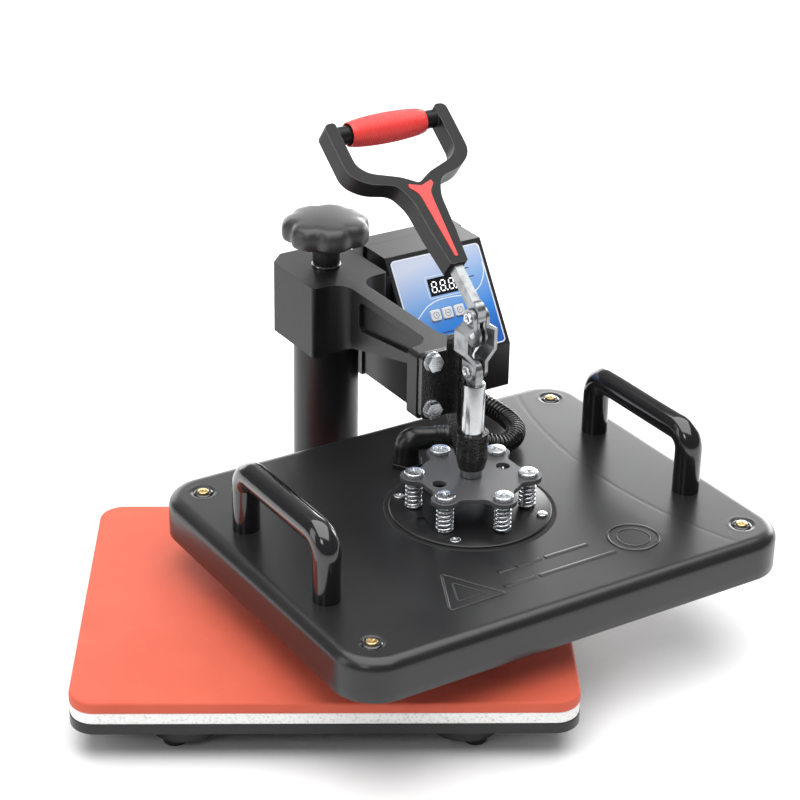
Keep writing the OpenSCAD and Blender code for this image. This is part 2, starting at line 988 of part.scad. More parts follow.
module temperature_sensor() {
    color([0.8, 0.75, 0.5])
        arm_frame()
            translate([elbow_at[0], 66, plate_top + 0.1]) cube([8, 16, 6]);
}

module insulation_blanket() {
    color([0.85, 0.82, 0.7])
        arm_frame()
            difference() {
                slab(pad_w - 8, pad_d - 8, 22, plate_top + 9, cover_under - 1);
                around_spring_circle() post(9, plate_top, cover_top);
                for (sx = [-corner_x, corner_x], sy = [-corner_y, corner_y])
                    translate([sx, sy, 0]) post(6, plate_top, cover_top);
                translate([elbow_at[0], elbow_at[1], 0]) post(12, plate_top, cover_top);
                for (sx = [-handle_x, handle_x], sy = [-handle_y, handle_y])
                    translate([sx, sy, 0]) post(9, plate_top, cover_top);
            }
}

module platen_cover() {
    color([0.1, 0.1, 0.105])
        arm_frame()
            difference() {
                domed_slab(cover_w, cover_d, cover_r, cover_edge, cover_bottom, cover_top);
                domed_slab(
                    cover_w - 2 * cover_t, cover_d - 2 * cover_t, cover_r - cover_t,
                    cover_edge - cover_t, cover_bottom - 5, cover_under
                );
                around_spring_circle() post(bolt_r + 0.5, cover_under - 1, cover_top + 1);
                for (sx = [-corner_x, corner_x], sy = [-corner_y, corner_y])
                    translate([sx, sy, 0]) post(2.2, cover_under - 1, cover_top + 1);
                for (sx = [-handle_x, handle_x], sy = [-handle_y, handle_y])
                    translate([sx, sy, 0]) post(3.2, cover_under - 1, cover_top + 1);
                translate([elbow_at[0], elbow_at[1], 0]) post(7, cover_under - 1, cover_top + 1);
            }
}

module mounting_disc() {
    color([0.07, 0.07, 0.075])
        arm_frame()
            difference() {
                post(disc_r, cover_top, disc_top);
                around_spring_circle() post(bolt_r + 0.5, cover_top - 1, disc_top + 1);
                for (a = [45:90:315])
                    rotate([0, 0, a])
                        translate([disc_screw_r, 0, 0]) post(2.2, cover_top - 1, disc_top + 1);
            }
}

module disc_screws() {
    color("silver")
        arm_frame()
            for (a = [45:90:315])
                rotate([0, 0, a])
                    translate([disc_screw_r, 0, disc_top]) cylinder(r1 = 4.2, r2 = 3, h = 1.8);
}

module spring_bolts() {
    color("silver")
        arm_frame()
            around_spring_circle() {
                translate([0, 0, spring_plate_top]) cylinder(r1 = head_r, r2 = head_r - 1, h = 5.5);
                post(bolt_r - 0.03, plate_top + 4.5, spring_plate_top + eps);
            }
}

module platen_springs() {
    color("silver")
        arm_frame()
            around_spring_circle() ring(spring_r, bolt_r + 0.9, disc_top, spring_plate_z);
}

module cover_screws() {
    color([0.75, 0.6, 0.3])
        arm_frame()
            for (sx = [-corner_x, corner_x], sy = [-corner_y, corner_y])
                translate([sx, sy, 0]) {
                    translate([0, 0, cover_top]) cylinder(r1 = 5, r2 = 3.6, h = 2.2);
                    post(1.95, plate_top + 5, cover_top + eps);
                }
}

module grab_handle() {
    leg_end = handle_y - handle_bend;
    for (sy = [-1, 1])
        translate([0, sy * handle_y, 0]) post(handle_r, cover_top, handle_axis_z - handle_bend);
    translate([0, -leg_end, handle_axis_z]) rotate([-90, 0, 0]) cylinder(r = handle_r, h = 2 * leg_end);
    for (side = [0, 1])
        mirror([0, side, 0])
            translate([0, leg_end, handle_axis_z - handle_bend])
                rotate([90, 0, 90])
                    rotate_extrude(angle = 90) translate([handle_bend, 0]) circle(handle_r);
}

module platen_handles() {
    color([0.05, 0.05, 0.055])
        arm_frame()
            for (sx = [-1, 1]) translate([sx * handle_x, 0, 0]) grab_handle();
}

module elbow_connector() {
    color([0.07, 0.07, 0.075])
        arm_frame()
            translate([elbow_at[0], elbow_at[1], 0]) {
                post(10.5, cover_top + 4, elbow_z);
                translate([0, 0, elbow_z]) sphere(10.5);
                translate([0, 0, elbow_z])
                    rotate([0, 90, elbow_turn]) {
                        cylinder(r = 9.5, h = elbow_len - 8);
                        translate([0, 0, elbow_len - 8]) cylinder(r = 10.3, h = 8);
                    }
            }
}

module elbow_locknut() {
    color([0.05, 0.05, 0.055])
        arm_frame()
            translate([elbow_at[0], elbow_at[1], cover_top]) cylinder(r = 14, h = 4, $fn = 6);
}

// ---- Conduit ----

function way(points, i) = unit(
    points[min(i + 1, len(points) - 1)] - points[max(i - 1, 0)]
);

function ring_points(points, i, r, sides) =
    let (
        t = i == 0 ? [0, -1, 0]
            : i == len(points) - 1 ? [-cos(elbow_turn), -sin(elbow_turn), 0]
            : way(points, i),
        side = unit(cross(t, [0, 0, 1])),
        up = cross(side, t)
    )
    [for (k = [0:sides - 1])
        points[i] + r * (cos(360 * k / sides) * side + sin(360 * k / sides) * up)];

module swept_tube(points, r, sides) {
    n = len(points);
    rings = [for (i = [0:n - 1]) each ring_points(points, i, r, sides)];
    walls = [for (i = [0:n - 2], k = [0:sides - 1])
        let (a = i * sides + k, b = i * sides + (k + 1) % sides)
        [a, b, b + sides, a + sides]];
    start_cap = [[for (k = [sides - 1:-1:0]) k]];
    end_cap = [[for (k = [0:sides - 1]) (n - 1) * sides + k]];
    polyhedron(rings, concat(start_cap, walls, end_cap));
}

module conduit() {
    color([0.05, 0.05, 0.05])
        arm_frame() swept_tube(conduit_points, conduit_dia / 2, 10);
}

base_frame();
rubber_feet();
column_flange();
column_bolts();
column_tube();
lift_nut();
lift_post();
thrust_washer();
lower_tray();
tray_screws();
insulation_board();
silicone_pad();
pressure_knob();
pressure_screw();
knob_ring();
arm_casting();
toggle_bracket();
bracket_bolts();
bracket_washers();
lever_pivot_pin();
control_case();
control_back();
case_screws();
control_mount();
panel_label();
display_window();
button_left();
button_middle();
button_right();
circuit_board();
transformer();
power_switch();
power_inlet();
fuse_holder();
conduit_gland();
lever_bar();
handle_frame();
handle_grip();
handle_inlay();
link_pin_upper();
link_left();
link_right();
link_rivets();
press_rod();
spring_plate();
rod_nut();
heating_plate();
heating_element();
temperature_sensor();
insulation_blanket();
platen_cover();
mounting_disc();
disc_screws();
spring_bolts();
platen_springs();
cover_screws();
platen_handles();
elbow_connector();
elbow_locknut();
conduit();
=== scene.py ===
"""Heat press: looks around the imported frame. Metres, Z up, the bench at z = 0."""

import json
import math

import bmesh
import bpy
from mathutils import Matrix, Vector

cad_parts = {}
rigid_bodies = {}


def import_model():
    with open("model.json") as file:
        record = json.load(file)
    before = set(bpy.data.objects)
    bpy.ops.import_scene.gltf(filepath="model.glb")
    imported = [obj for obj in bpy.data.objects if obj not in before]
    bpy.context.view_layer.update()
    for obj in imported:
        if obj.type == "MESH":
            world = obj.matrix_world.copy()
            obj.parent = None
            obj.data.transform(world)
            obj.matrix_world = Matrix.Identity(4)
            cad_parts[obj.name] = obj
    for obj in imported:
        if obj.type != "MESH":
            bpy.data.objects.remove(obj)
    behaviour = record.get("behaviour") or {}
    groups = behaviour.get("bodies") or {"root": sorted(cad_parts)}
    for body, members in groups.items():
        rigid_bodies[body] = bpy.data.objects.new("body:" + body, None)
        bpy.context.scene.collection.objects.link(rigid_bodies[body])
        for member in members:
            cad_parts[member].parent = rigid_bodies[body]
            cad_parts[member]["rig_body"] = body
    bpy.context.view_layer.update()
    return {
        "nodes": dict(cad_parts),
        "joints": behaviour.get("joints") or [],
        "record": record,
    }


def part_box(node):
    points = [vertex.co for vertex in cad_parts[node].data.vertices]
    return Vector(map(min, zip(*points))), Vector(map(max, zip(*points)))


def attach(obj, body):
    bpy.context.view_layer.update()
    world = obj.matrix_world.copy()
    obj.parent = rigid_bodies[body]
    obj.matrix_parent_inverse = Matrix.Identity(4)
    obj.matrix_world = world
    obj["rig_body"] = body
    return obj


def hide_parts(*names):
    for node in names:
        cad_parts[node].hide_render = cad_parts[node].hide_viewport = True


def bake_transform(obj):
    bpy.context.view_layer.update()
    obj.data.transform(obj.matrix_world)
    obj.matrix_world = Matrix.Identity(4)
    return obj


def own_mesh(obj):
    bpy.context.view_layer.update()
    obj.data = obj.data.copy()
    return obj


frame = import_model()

MM = 0.001
TAU = 2 * math.pi
rad = math.radians

# ---------------------------------------------------------------- places from the frame

joints = {j["name"]: j for j in frame["joints"]}
COLUMN = Vector(joints["arm_swing"]["pos_m"])
SWING = -rad(joints["arm_swing"]["range_deg"][0])
REACH = 0.227
ARM = (
    Matrix.Translation((COLUMN.x, COLUMN.y, 0))
    @ Matrix.Rotation(SWING, 4, "Z")
    @ Matrix.Translation((0, -REACH, 0))
)
PIVOT_Z = joints["lever_swing"]["pos_m"][2]
LINK_Z = joints["links_swing"]["pos_m"][2]
LOWER_Z = LINK_Z - 0.0445
BEND_Z = PIVOT_Z + 0.020
LEAN = rad(52.5)
PAD_LOW, PAD_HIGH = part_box("silicone_pad")
PAD_MID = (PAD_LOW + PAD_HIGH) / 2
COVER_LOW, COVER_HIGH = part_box("platen_cover")
COVER_TOP = COVER_HIGH.z
DISC_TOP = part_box("mounting_disc")[1].z
PLATE_LOW, PLATE_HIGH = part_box("spring_plate")
HANDLE = ARM @ Matrix.Translation((0, 0, BEND_Z)) @ Matrix.Rotation(rad(90) - LEAN, 4, "X")


# ---------------------------------------------------------------- camera

def make_camera():
    """Stands where the photograph was taken from: in front of the pad, looking down."""
    place = Vector((PAD_MID.x - 0.0011, PAD_MID.y - 1.5378, PAD_HIGH.z + 0.9323))
    yaw, pitch, roll = rad(2.13), rad(26.22), rad(1.05)
    forward = Vector(
        (math.sin(yaw) * math.cos(pitch), math.cos(yaw) * math.cos(pitch), -math.sin(pitch))
    )
    right = Vector((math.cos(yaw), -math.sin(yaw), 0))
    up = right.cross(forward)
    right_rolled = right * math.cos(roll) + up * math.sin(roll)
    up_rolled = up * math.cos(roll) - right * math.sin(roll)
    data = bpy.data.cameras.new("camera")
    data.sensor_width = 36
    data.lens = 101.57
    camera = bpy.data.objects.new("camera", data)
    bpy.context.scene.collection.objects.link(camera)
    turn = Matrix((right_rolled, up_rolled, -forward)).transposed().to_4x4()
    camera.matrix_world = Matrix.Translation(place) @ turn
    bpy.context.scene.camera = camera
    return camera


make_camera()

# ---------------------------------------------------------------- material nodes


class Nodes:
    """Short calls for building one material's node tree."""

    def __init__(self, name, base, rough, metallic=0.0, ior=1.5, coat=0.0, coat_rough=0.1):
        self.mat = bpy.data.materials.new(name)
        self.mat.use_nodes = True
        self.tree = self.mat.node_tree
        self.tree.nodes.clear()
        self.out = self.add("ShaderNodeOutputMaterial")
        self.bsdf = self.add("ShaderNodeBsdfPrincipled")
        self.link(self.bsdf, "BSDF", self.out, "Surface")
        self.set(base, "Base Color")
        self.set(rough, "Roughness")
        self.bsdf.inputs["Metallic"].default_value = metallic
        self.bsdf.inputs["IOR"].default_value = ior
        self.bsdf.inputs["Coat Weight"].default_value = coat
        self.bsdf.inputs["Coat Roughness"].default_value = coat_rough
        coords = self.add("ShaderNodeTexCoord")
        self.coords = coords.outputs["Object"]
        self.height = None

    def add(self, kind, **settings):
        node = self.tree.nodes.new(kind)
        for key, value in settings.items():
            setattr(node, key, value)
        return node

    def link(self, a, out, b, into):
        self.tree.links.new(a.outputs[out], b.inputs[into])

    def set(self, value, name):
        socket = self.bsdf.inputs[name]
        if isinstance(value, (int, float)):
            socket.default_value = value
        else:
            socket.default_value = (*value[:3], 1.0)

    def noise(self, scale, detail=3.0, rough=0.5, stretch=None):
        node = self.add("ShaderNodeTexNoise")
        node.inputs["Scale"].default_value = scale
        node.inputs["Detail"].default_value = detail
        node.inputs["Roughness"].default_value = rough
        source = self.coords
        if stretch:
            mapping = self.add("ShaderNodeMapping")
            mapping.inputs["Scale"].default_value = stretch
            self.tree.links.new(source, mapping.inputs["Vector"])
            source = mapping.outputs["Vector"]
        self.tree.links.new(source, node.inputs["Vector"])
        return node.outputs["Fac"]

    def voronoi(self, scale, feature="F1"):
        node = self.add("ShaderNodeTexVoronoi", feature=feature)
        node.inputs["Scale"].default_value = scale
        self.tree.links.new(self.coords, node.inputs["Vector"])
        return node.outputs["Distance"]

    def ramp(self, fac, stops):
        node = self.add("ShaderNodeValToRGB")
        self.tree.links.new(fac, node.inputs["Fac"])
        elements = node.color_ramp.elements
        while len(elements) < len(stops):
            elements.new(0.5)
        for element, (place, colour) in zip(elements, stops):
            element.position = place
            element.color = (*colour, 1.0) if len(colour) == 3 else colour
        return node.outputs["Color"]

    def range(self, fac, low, high, from_low=0.0, from_high=1.0):
        node = self.add("ShaderNodeMapRange")
        for key, value in (
            ("From Min", from_low), ("From Max", from_high), ("To Min", low), ("To Max", high)
        ):
            node.inputs[key].default_value = value
        self.tree.links.new(fac, node.inputs["Value"])
        return node.outputs["Result"]

    def math(self, kind, a, b):
        node = self.add("ShaderNodeMath", operation=kind)
        for socket, value in ((0, a), (1, b)):
            if isinstance(value, (int, float)):
                node.inputs[socket].default_value = value
            else:
                self.tree.links.new(value, node.inputs[socket])
        return node.outputs["Value"]

    def colour(self, output):
        self.tree.links.new(output, self.bsdf.inputs["Base Color"])
        return self

    def rough(self, output):
        self.tree.links.new(output, self.bsdf.inputs["Roughness"])
        return self

    def bump(self, height, distance, strength=1.0):
        node = self.add("ShaderNodeBump")
        node.inputs["Distance"].default_value = distance
        node.inputs["Strength"].default_value = strength
        self.tree.links.new(height, node.inputs["Height"])
        if self.height:
            self.tree.links.new(self.height, node.inputs["Normal"])
        self.height = node.outputs["Normal"]
        self.tree.links.new(self.height, self.bsdf.inputs["Normal"])
        return self


def mix_tone(a, share):
    return tuple(c * share for c in a)


def coated_metal(name, tone, rough, grain, bump, spread=0.06, ior=1.5):
    """Paint or powder coat: fine orange peel, with slow changes of tone and gloss."""
    n = Nodes(name, tone, rough, ior=ior)
    slow = n.noise(9, 4)
    fine = n.noise(grain, 2)
    n.colour(n.ramp(slow, [(0.3, mix_tone(tone, 0.85)), (0.7, mix_tone(tone, 1.2))]))
    n.rough(n.range(n.math("ADD", n.math("MULTIPLY", slow, 0.6), n.math("MULTIPLY", fine, 0.4)),
                    rough - spread, rough + spread))
    n.bump(fine, bump)
    return n.mat


def hammered(name):
    """Glossy wrinkle coat: fine blisters that catch the light as scattered sparks."""
    n = Nodes(name, (0.006, 0.006, 0.006), 0.2, coat=0.3, coat_rough=0.1)
    cells = n.voronoi(620)
    lumps = n.noise(420, 3)
    n.rough(n.range(lumps, 0.14, 0.34))
    n.colour(n.ramp(lumps, [(0.35, (0.004, 0.004, 0.004)), (0.75, (0.011, 0.011, 0.01))]))
    n.bump(cells, 0.0003, 0.8).bump(lumps, 0.0002, 0.6)
    return n.mat


def plated(name, tone, rough, streak=(1, 1, 12), dark=0.6):
    """Plated steel: cloudy plating, fine streaks and small dark flecks."""
    n = Nodes(name, tone, rough, metallic=1.0)
    cloud = n.noise(130, 5)
    lines = n.noise(420, 3, stretch=streak)
    n.colour(n.ramp(cloud, [(0.28, mix_tone(tone, dark)), (0.5, tone), (0.8, mix_tone(tone, 1.12))]))
    n.rough(n.range(lines, rough - 0.08, rough + 0.16))
    n.bump(lines, 0.00004, 0.6).bump(cloud, 0.00005, 0.5)
    return n.mat


def chrome(name):
    n = Nodes(name, (0.5, 0.51, 0.52), 0.16, metallic=1.0)
    wear = n.noise(60, 5)
    flecks = n.noise(700, 2)
    n.colour(n.ramp(wear, [(0.3, (0.42, 0.43, 0.44)), (0.65, (0.56, 0.57, 0.58))]))
    n.rough(n.range(flecks, 0.1, 0.24))
    n.bump(flecks, 0.000012, 0.4)
    return n.mat


def moulded(name, tone, rough, grain=900, bump=0.00004, coat=0.0, spread=0.05, ior=1.5):
    """Moulded plastic: fine spark texture and slow gloss changes."""
    n = Nodes(name, tone, rough, ior=ior, coat=coat, coat_rough=0.05)
    slow = n.noise(14, 3)
    fine = n.noise(grain, 2)
    n.colour(n.ramp(slow, [(0.3, mix_tone(tone, 0.88)), (0.7, mix_tone(tone, 1.15))]))
    n.rough(n.range(n.math("MULTIPLY", n.math("ADD", slow, fine), 0.5), rough - spread, rough + spread))
    n.bump(fine, bump, 0.6)
    return n.mat


def silicone(name):
    """Orange-red foamed silicone: fine pores, soft mottling and a dry bloom."""
    n = Nodes(name, (0.72, 0.15, 0.075), 0.62, ior=1.4)
    n.bsdf.inputs["Sheen Weight"].default_value = 0.06
    n.bsdf.inputs["Sheen Roughness"].default_value = 0.5
    n.bsdf.inputs["Sheen Tint"].default_value = (1.0, 0.75, 0.65, 1.0)
    mottle = n.noise(26, 6, 0.6)
    pores = n.voronoi(760)
    grain = n.noise(1500, 2)
    n.colour(n.ramp(mottle, [(0.25, (0.60, 0.094, 0.049)), (0.55, (0.62, 0.104, 0.055)),
                             (0.8, (0.645, 0.115, 0.063))]))
    n.rough(n.range(grain, 0.52, 0.74))
    n.bump(pores, 0.00012, 0.5).bump(grain, 0.00006, 0.6)
    return n.mat


def speckled_board(name):
    """White fibre board with grey flecks on its cut edge."""
    n = Nodes(name, (0.86, 0.86, 0.83), 0.8)
    flecks = n.noise(520, 3, 0.7)
    n.colour(n.ramp(flecks, [(0.3, (0.5, 0.5, 0.48)), (0.42, (0.88, 0.88, 0.86)), (0.6, (0.97, 0.97, 0.96))]))
    n.bump(flecks, 0.0002, 0.8)
    return n.mat


def woven(name):
    n = Nodes(name, (0.72, 0.69, 0.58), 0.9)
    n.colour(n.ramp(n.noise(300, 4), [(0.3, (0.55, 0.52, 0.42)), (0.7, (0.82, 0.79, 0.68))]))
    n.bump(n.noise(900, 3), 0.0004)
    return n.mat


def panel_print(name, low, high):
    """Membrane label: pale lavender at the top left deepening to blue at the foot."""
    n = Nodes(name, (0.3, 0.5, 0.9), 0.28, coat=0.35, coat_rough=0.12)
    mapping = n.add("ShaderNodeSeparateXYZ")
    n.tree.links.new(n.coords, mapping.inputs["Vector"])
    slope = n.math("ADD", mapping.outputs["Y"], n.math("MULTIPLY", mapping.outputs["X"], -0.22))
    fade = n.range(slope, 0.0, 1.0, low, high)
    n.colour(n.ramp(fade, [(0.0, (0.02, 0.12, 0.5)), (0.3, (0.045, 0.24, 0.72)),
                           (0.6, (0.22, 0.42, 0.78)), (1.0, (0.62, 0.68, 0.84))]))
    n.bump(n.noise(1400, 2), 0.00002, 0.5)
    return n.mat


def glowing(name, tone, strength):
    n = Nodes(name, tone, 0.4)
    n.bsdf.inputs["Emission Color"].default_value = (*tone, 1.0)
    n.bsdf.inputs["Emission Strength"].default_value = strength
    return n.mat


M = {
    "satin_black": coated_metal("satin_black", (0.011, 0.011, 0.012), 0.33, 900, 0.00002, ior=1.42),
    "cover_black": coated_metal("cover_black", (0.014, 0.014, 0.015), 0.29, 1100, 0.000015, 0.035),
    "cast_black": coated_metal("cast_black", (0.0095, 0.0095, 0.01), 0.36, 420, 0.0001, ior=1.36),
    # Mid grey for the spring plate, lighter than its black coat: a painted reflection of the back light.
    "plate_painted_reflection": coated_metal("plate_painted_reflection", (0.075, 0.075, 0.078), 0.4, 900, 0.00002),
    "bracket_black": hammered("bracket_black"),
    "foot_rubber": moulded("foot_rubber", (0.012, 0.012, 0.012), 0.7),
    "pad_red": silicone("pad_red"),
    "board_white": speckled_board("board_white"),
    "zinc": plated("zinc", (0.76, 0.79, 0.81), 0.22, dark=0.72),
    "plated_steel": plated("plated_steel", (0.33, 0.345, 0.35), 0.3, (1, 1, 8), 0.6),
    "chrome": chrome("chrome"),
    "machined_steel": plated("machined_steel", (0.45, 0.45, 0.46), 0.3),
    "bronze": plated("bronze", (0.62, 0.42, 0.2), 0.35),
    "brass_screw": plated("brass_screw", (0.72, 0.55, 0.27), 0.25),
    "knob_plastic": moulded("knob_plastic", (0.034, 0.034, 0.035), 0.36, 700, 0.00006),
    "handle_black": moulded("handle_black", (0.0075, 0.0075, 0.008), 0.38, 600, 0.00005, ior=1.33),
    # Light grey for the handle frame's bevel faces: a painted highlight on the edges, not the plastic's own
    # colour.
    "handle_painted_highlight": moulded("handle_painted_highlight", (0.15, 0.15, 0.155), 0.34, 600, 0.00004),
    "grip_red": moulded("grip_red", (0.76, 0.05, 0.045), 0.4, 700, 0.00005),
    "gloss_black": moulded("gloss_black", (0.01, 0.01, 0.011), 0.16, 500, 0.00001, coat=0.6),
    "case_black": moulded("case_black", (0.016, 0.016, 0.017), 0.36, 800, 0.00004),
    "fitting_black": moulded("fitting_black", (0.008, 0.008, 0.0085), 0.3, 700, 0.00004),
    "conduit_black": moulded("conduit_black", (0.0045, 0.0045, 0.005), 0.2, 600, 0.00002, coat=0.5),
    # Near-black matte for the ring in the groove round the disc: painted shade.
    "groove_black": moulded("groove_black", (0.002, 0.002, 0.002), 0.7),
    "display_dark": moulded("display_dark", (0.006, 0.006, 0.008), 0.1, 500, 0.000005, coat=0.5),
    "digit": glowing("digit", (0.95, 0.98, 1.0), 0.9),
    "panel_white": moulded("panel_white", (0.82, 0.85, 0.92), 0.35),
    "panel_ink": moulded("panel_ink", (0.03, 0.05, 0.16), 0.4),
    "button_grey": moulded("button_grey", (0.72, 0.73, 0.76), 0.35, 500, 0.00003),
    "switch_red": moulded("switch_red", (0.55, 0.02, 0.015), 0.2, 500, 0.00001, coat=0.4),
    "board_green": moulded("board_green", (0.02, 0.16, 0.07), 0.35),
    "transformer_steel": plated("transformer_steel", (0.4, 0.4, 0.37), 0.45),
    "aluminium": plated("aluminium", (0.5, 0.51, 0.52), 0.42, (1, 1, 3), 0.75),
    "element_steel": plated("element_steel", (0.3, 0.27, 0.24), 0.45),
    "blanket": woven("blanket"),
}

# ---------------------------------------------------------------- mesh helpers


def new_object(name, mesh, material, matrix=None):
    obj = bpy.data.objects.new(name, mesh)
    bpy.context.scene.collection.objects.link(obj)
    mesh.materials.clear()
    for item in material if isinstance(material, (list, tuple)) else [material]:
        mesh.materials.append(M[item] if isinstance(item, str) else item)
    if matrix is not None:
        mesh.transform(matrix)
    return obj


def from_bmesh(name, bm, material, matrix=None, smooth=True, sharp=35):
    bmesh.ops.recalc_face_normals(bm, faces=bm.faces)
    mesh = bpy.data.meshes.new(name)
    bm.to_mesh(mesh)
    bm.free()
    if smooth:
        mesh.polygons.foreach_set("use_smooth", [True] * len(mesh.polygons))
        mesh.set_sharp_from_angle(angle=rad(sharp))
    return new_object(name, mesh, material, matrix)


def apply_modifiers(obj):
    bpy.context.view_layer.update()
    graph = bpy.context.evaluated_depsgraph_get()
    mesh = bpy.data.meshes.new_from_object(obj.evaluated_get(graph))
    old = obj.data
    obj.modifiers.clear()
    obj.data = mesh
    bpy.data.meshes.remove(old)
    return obj


def soften(node, width, segments=3, angle=25, material=None, edge_material=None):
    """A copy of a CAD node with its edges rounded over, standing for that node."""
    source = frame["nodes"][node]
    bm = bmesh.new()
    bm.from_mesh(source.data)
    bmesh.ops.remove_doubles(bm, verts=bm.verts, dist=0.00001)
    bmesh.ops.dissolve_limit(
        bm, angle_limit=rad(1.2), verts=bm.verts, edges=bm.edges, delimit={"NORMAL"}
    )
    finish = [material or slot_of(node)] + ([edge_material] if edge_material else [])
    obj = from_bmesh(node + "_finish", bm, finish, sharp=angle)
    bevel = obj.modifiers.new("round", "BEVEL")
    bevel.width = width
    bevel.segments = segments
    bevel.limit_method = "ANGLE"
    bevel.angle_limit = rad(angle)
    bevel.use_clamp_overlap = True
    bevel.material = 1 if edge_material else -1
    apply_modifiers(obj)
    obj.data.polygons.foreach_set("use_smooth", [True] * len(obj.data.polygons))
    obj.data.set_sharp_from_angle(angle=rad(40))
    flatten = obj.modifiers.new("flat_faces", "WEIGHTED_NORMAL")
    flatten.keep_sharp = True
    flatten.weight = 80
    apply_modifiers(obj)
    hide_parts(node)
    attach(obj, source["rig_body"])
    return obj


SLOTS = {s["node"]: s["material_slot"] for s in frame["record"]["subparts"]}


def slot_of(node):
    return SLOTS[node]


def stand_for(obj, nodes, body=None):
    """obj replaces these CAD nodes and moves with their body."""
    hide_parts(*nodes)
    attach(obj, body or frame["nodes"][nodes[0]]["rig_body"])
    return obj


def detail(obj, body, slot):
    """obj is extra detail on a body."""
    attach(obj, body)
    return obj


def lathe(bm, profile, steps=64, matrix=Matrix.Identity(4)):
    """Adds a turned shape: profile is [(radius, height)], closed where the radius is zero."""
    rings = []
    for r, z in profile:
        if r < 1e-7:
            rings.append([bm.verts.new(matrix @ Vector((0, 0, z)))])
        else:
            rings.append([
                bm.verts.new(matrix @ Vector((r * math.cos(TAU * k / steps),
                                              r * math.sin(TAU * k / steps), z)))
                for k in range(steps)
            ])
    for a, b in zip(rings, rings[1:]):
        for k in range(steps):
            j = (k + 1) % steps
            if len(a) == 1 and len(b) == 1:
                continue
            if len(a) == 1:
                bm.faces.new((a[0], b[k], b[j]))
            elif len(b) == 1:
                bm.faces.new((a[k], b[0], a[j]))
            else:
                bm.faces.new((a[k], b[k], b[j], a[j]))
    return bm


def tube(bm, points, radius, sides=20, closed_ends=True, radii=None):
    """Sweeps a round section along points, turning as little as it can."""
    points = [Vector(p) for p in points]
    last = len(points) - 1
    ways = [(points[min(i + 1, last)] - points[max(i - 1, 0)]).normalized() for i in range(last + 1)]
    side = ways[0].orthogonal().normalized()
    rings = []
    for i, p in enumerate(points):
        side = (side - ways[i] * side.dot(ways[i])).normalized()
        up = ways[i].cross(side)
        r = radii[i] if radii else radius
        rings.append([
            bm.verts.new(p + (side * math.cos(TAU * k / sides) + up * math.sin(TAU * k / sides)) * r)
            for k in range(sides)
        ])
    for a, b in zip(rings, rings[1:]):
        for k in range(sides):
            j = (k + 1) % sides
            bm.faces.new((a[k], a[j], b[j], b[k]))
    if closed_ends:
        bm.faces.new(list(reversed(rings[0])))
        bm.faces.new(rings[-1])
    return bm


def smooth_path(points, per_leg=12):
    """Catmull-Rom curve through points."""
    pts = [Vector(p) for p in points]
    ext = [2 * pts[0] - pts[1]] + pts + [2 * pts[-1] - pts[-2]]
    out = []
    for i in range(len(pts) - 1):
        a, b, c, d = ext[i:i + 4]
        for k in range(per_leg):
            t = k / per_leg
            out.append(0.5 * ((2 * b) + (c - a) * t + (2 * a - 5 * b + 4 * c - d) * t * t
                              + (3 * b - a - 3 * c + d) * t ** 3))
    out.append(pts[-1])
    return out


def bar(bm, size, place):
    """Adds a box of that size centred on place."""
    matrix = Matrix.Translation(place) @ Matrix.Diagonal((*size, 1))
    return bmesh.ops.create_cube(bm, size=1, matrix=matrix)

# ---------------------------------------------------------------- bought-in parts


def boolean_cut(obj, cutter):
    cut = obj.modifiers.new("cut", "BOOLEAN")
    cut.operation = "DIFFERENCE"
    cut.solver = "EXACT"
    cut.use_self = True
    cut.object = cutter
    apply_modifiers(obj)
    bpy.data.objects.remove(cutter)
    return obj


def head_mesh(name, profile, recess_r, recess_w, depth, top, material):
    """A turned screw head with a cross recess, its seat at z = 0."""
    obj = from_bmesh(name, lathe(bmesh.new(), profile, 40), material, sharp=50)
    bm = bmesh.new()
    for turn in (0, 90):
        spin = Matrix.Rotation(rad(turn), 4, "Z")
        outline = [(-recess_r, top + 0.001), (-recess_r, top - depth * 0.15), (-recess_w * 0.7, top - depth),
                   (recess_w * 0.7, top - depth), (recess_r, top - depth * 0.15), (recess_r, top + 0.001)]
        front = [bm.verts.new(spin @ Vector((x, -recess_w / 2, z))) for x, z in outline]
        back = [bm.verts.new(spin @ Vector((x, recess_w / 2, z))) for x, z in outline]
        bm.faces.new(front)
        bm.faces.new(list(reversed(back)))
        for k in range(len(front)):
            j = (k + 1) % len(front)
            bm.faces.new((front[j], front[k], back[k], back[j]))
    cutter = from_bmesh(name + "_cutter", bm, material, smooth=False)
    boolean_cut(obj, cutter)
    mesh = obj.data
    mesh.polygons.foreach_set("use_smooth", [True] * len(mesh.polygons))
    mesh.set_sharp_from_angle(angle=rad(40))
    bpy.data.objects.remove(obj)
    return mesh


def gather(name, parts, material):
    """One object from several (mesh, matrix) parts."""
    bm = bmesh.new()
    for mesh, matrix in parts:
        copy = mesh.copy()
        copy.transform(matrix)
        bm.from_mesh(copy)
        bpy.data.meshes.remove(copy)
    mesh = bpy.data.meshes.new(name)
    bm.to_mesh(mesh)
    bm.free()
    mesh.polygons.foreach_set("use_smooth", [True] * len(mesh.polygons))
    mesh.set_sharp_from_angle(angle=rad(40))
    return new_object(name, mesh, material)


def dome(r, h, flat=0.55, edge=0.25):
    """Profile of a pan head: a rounded shoulder and a gently domed top."""
    shoulder = [
        (r - edge * h + edge * h * math.cos(a), h * (1 - edge * 1.4) + edge * h * math.sin(a))
        for a in (0, rad(30), rad(60), rad(90))
    ]
    return [(0, 0), (r * 0.96, 0), (r, h * 0.12)] + shoulder + [(r * flat, h * 0.985), (0, h)]


def spring_angles():
    return [rad(a) for a in range(30, 360, 60)]

# ---------------------------------------------------------------- stand

soften("base_frame", 0.0022)
soften("rubber_feet", 0.0009)
soften("column_flange", 0.0015)
soften("column_bolts", 0.0006)
soften("column_tube", 0.0008)
soften("lower_tray", 0.0011)
soften("insulation_board", 0.0007)


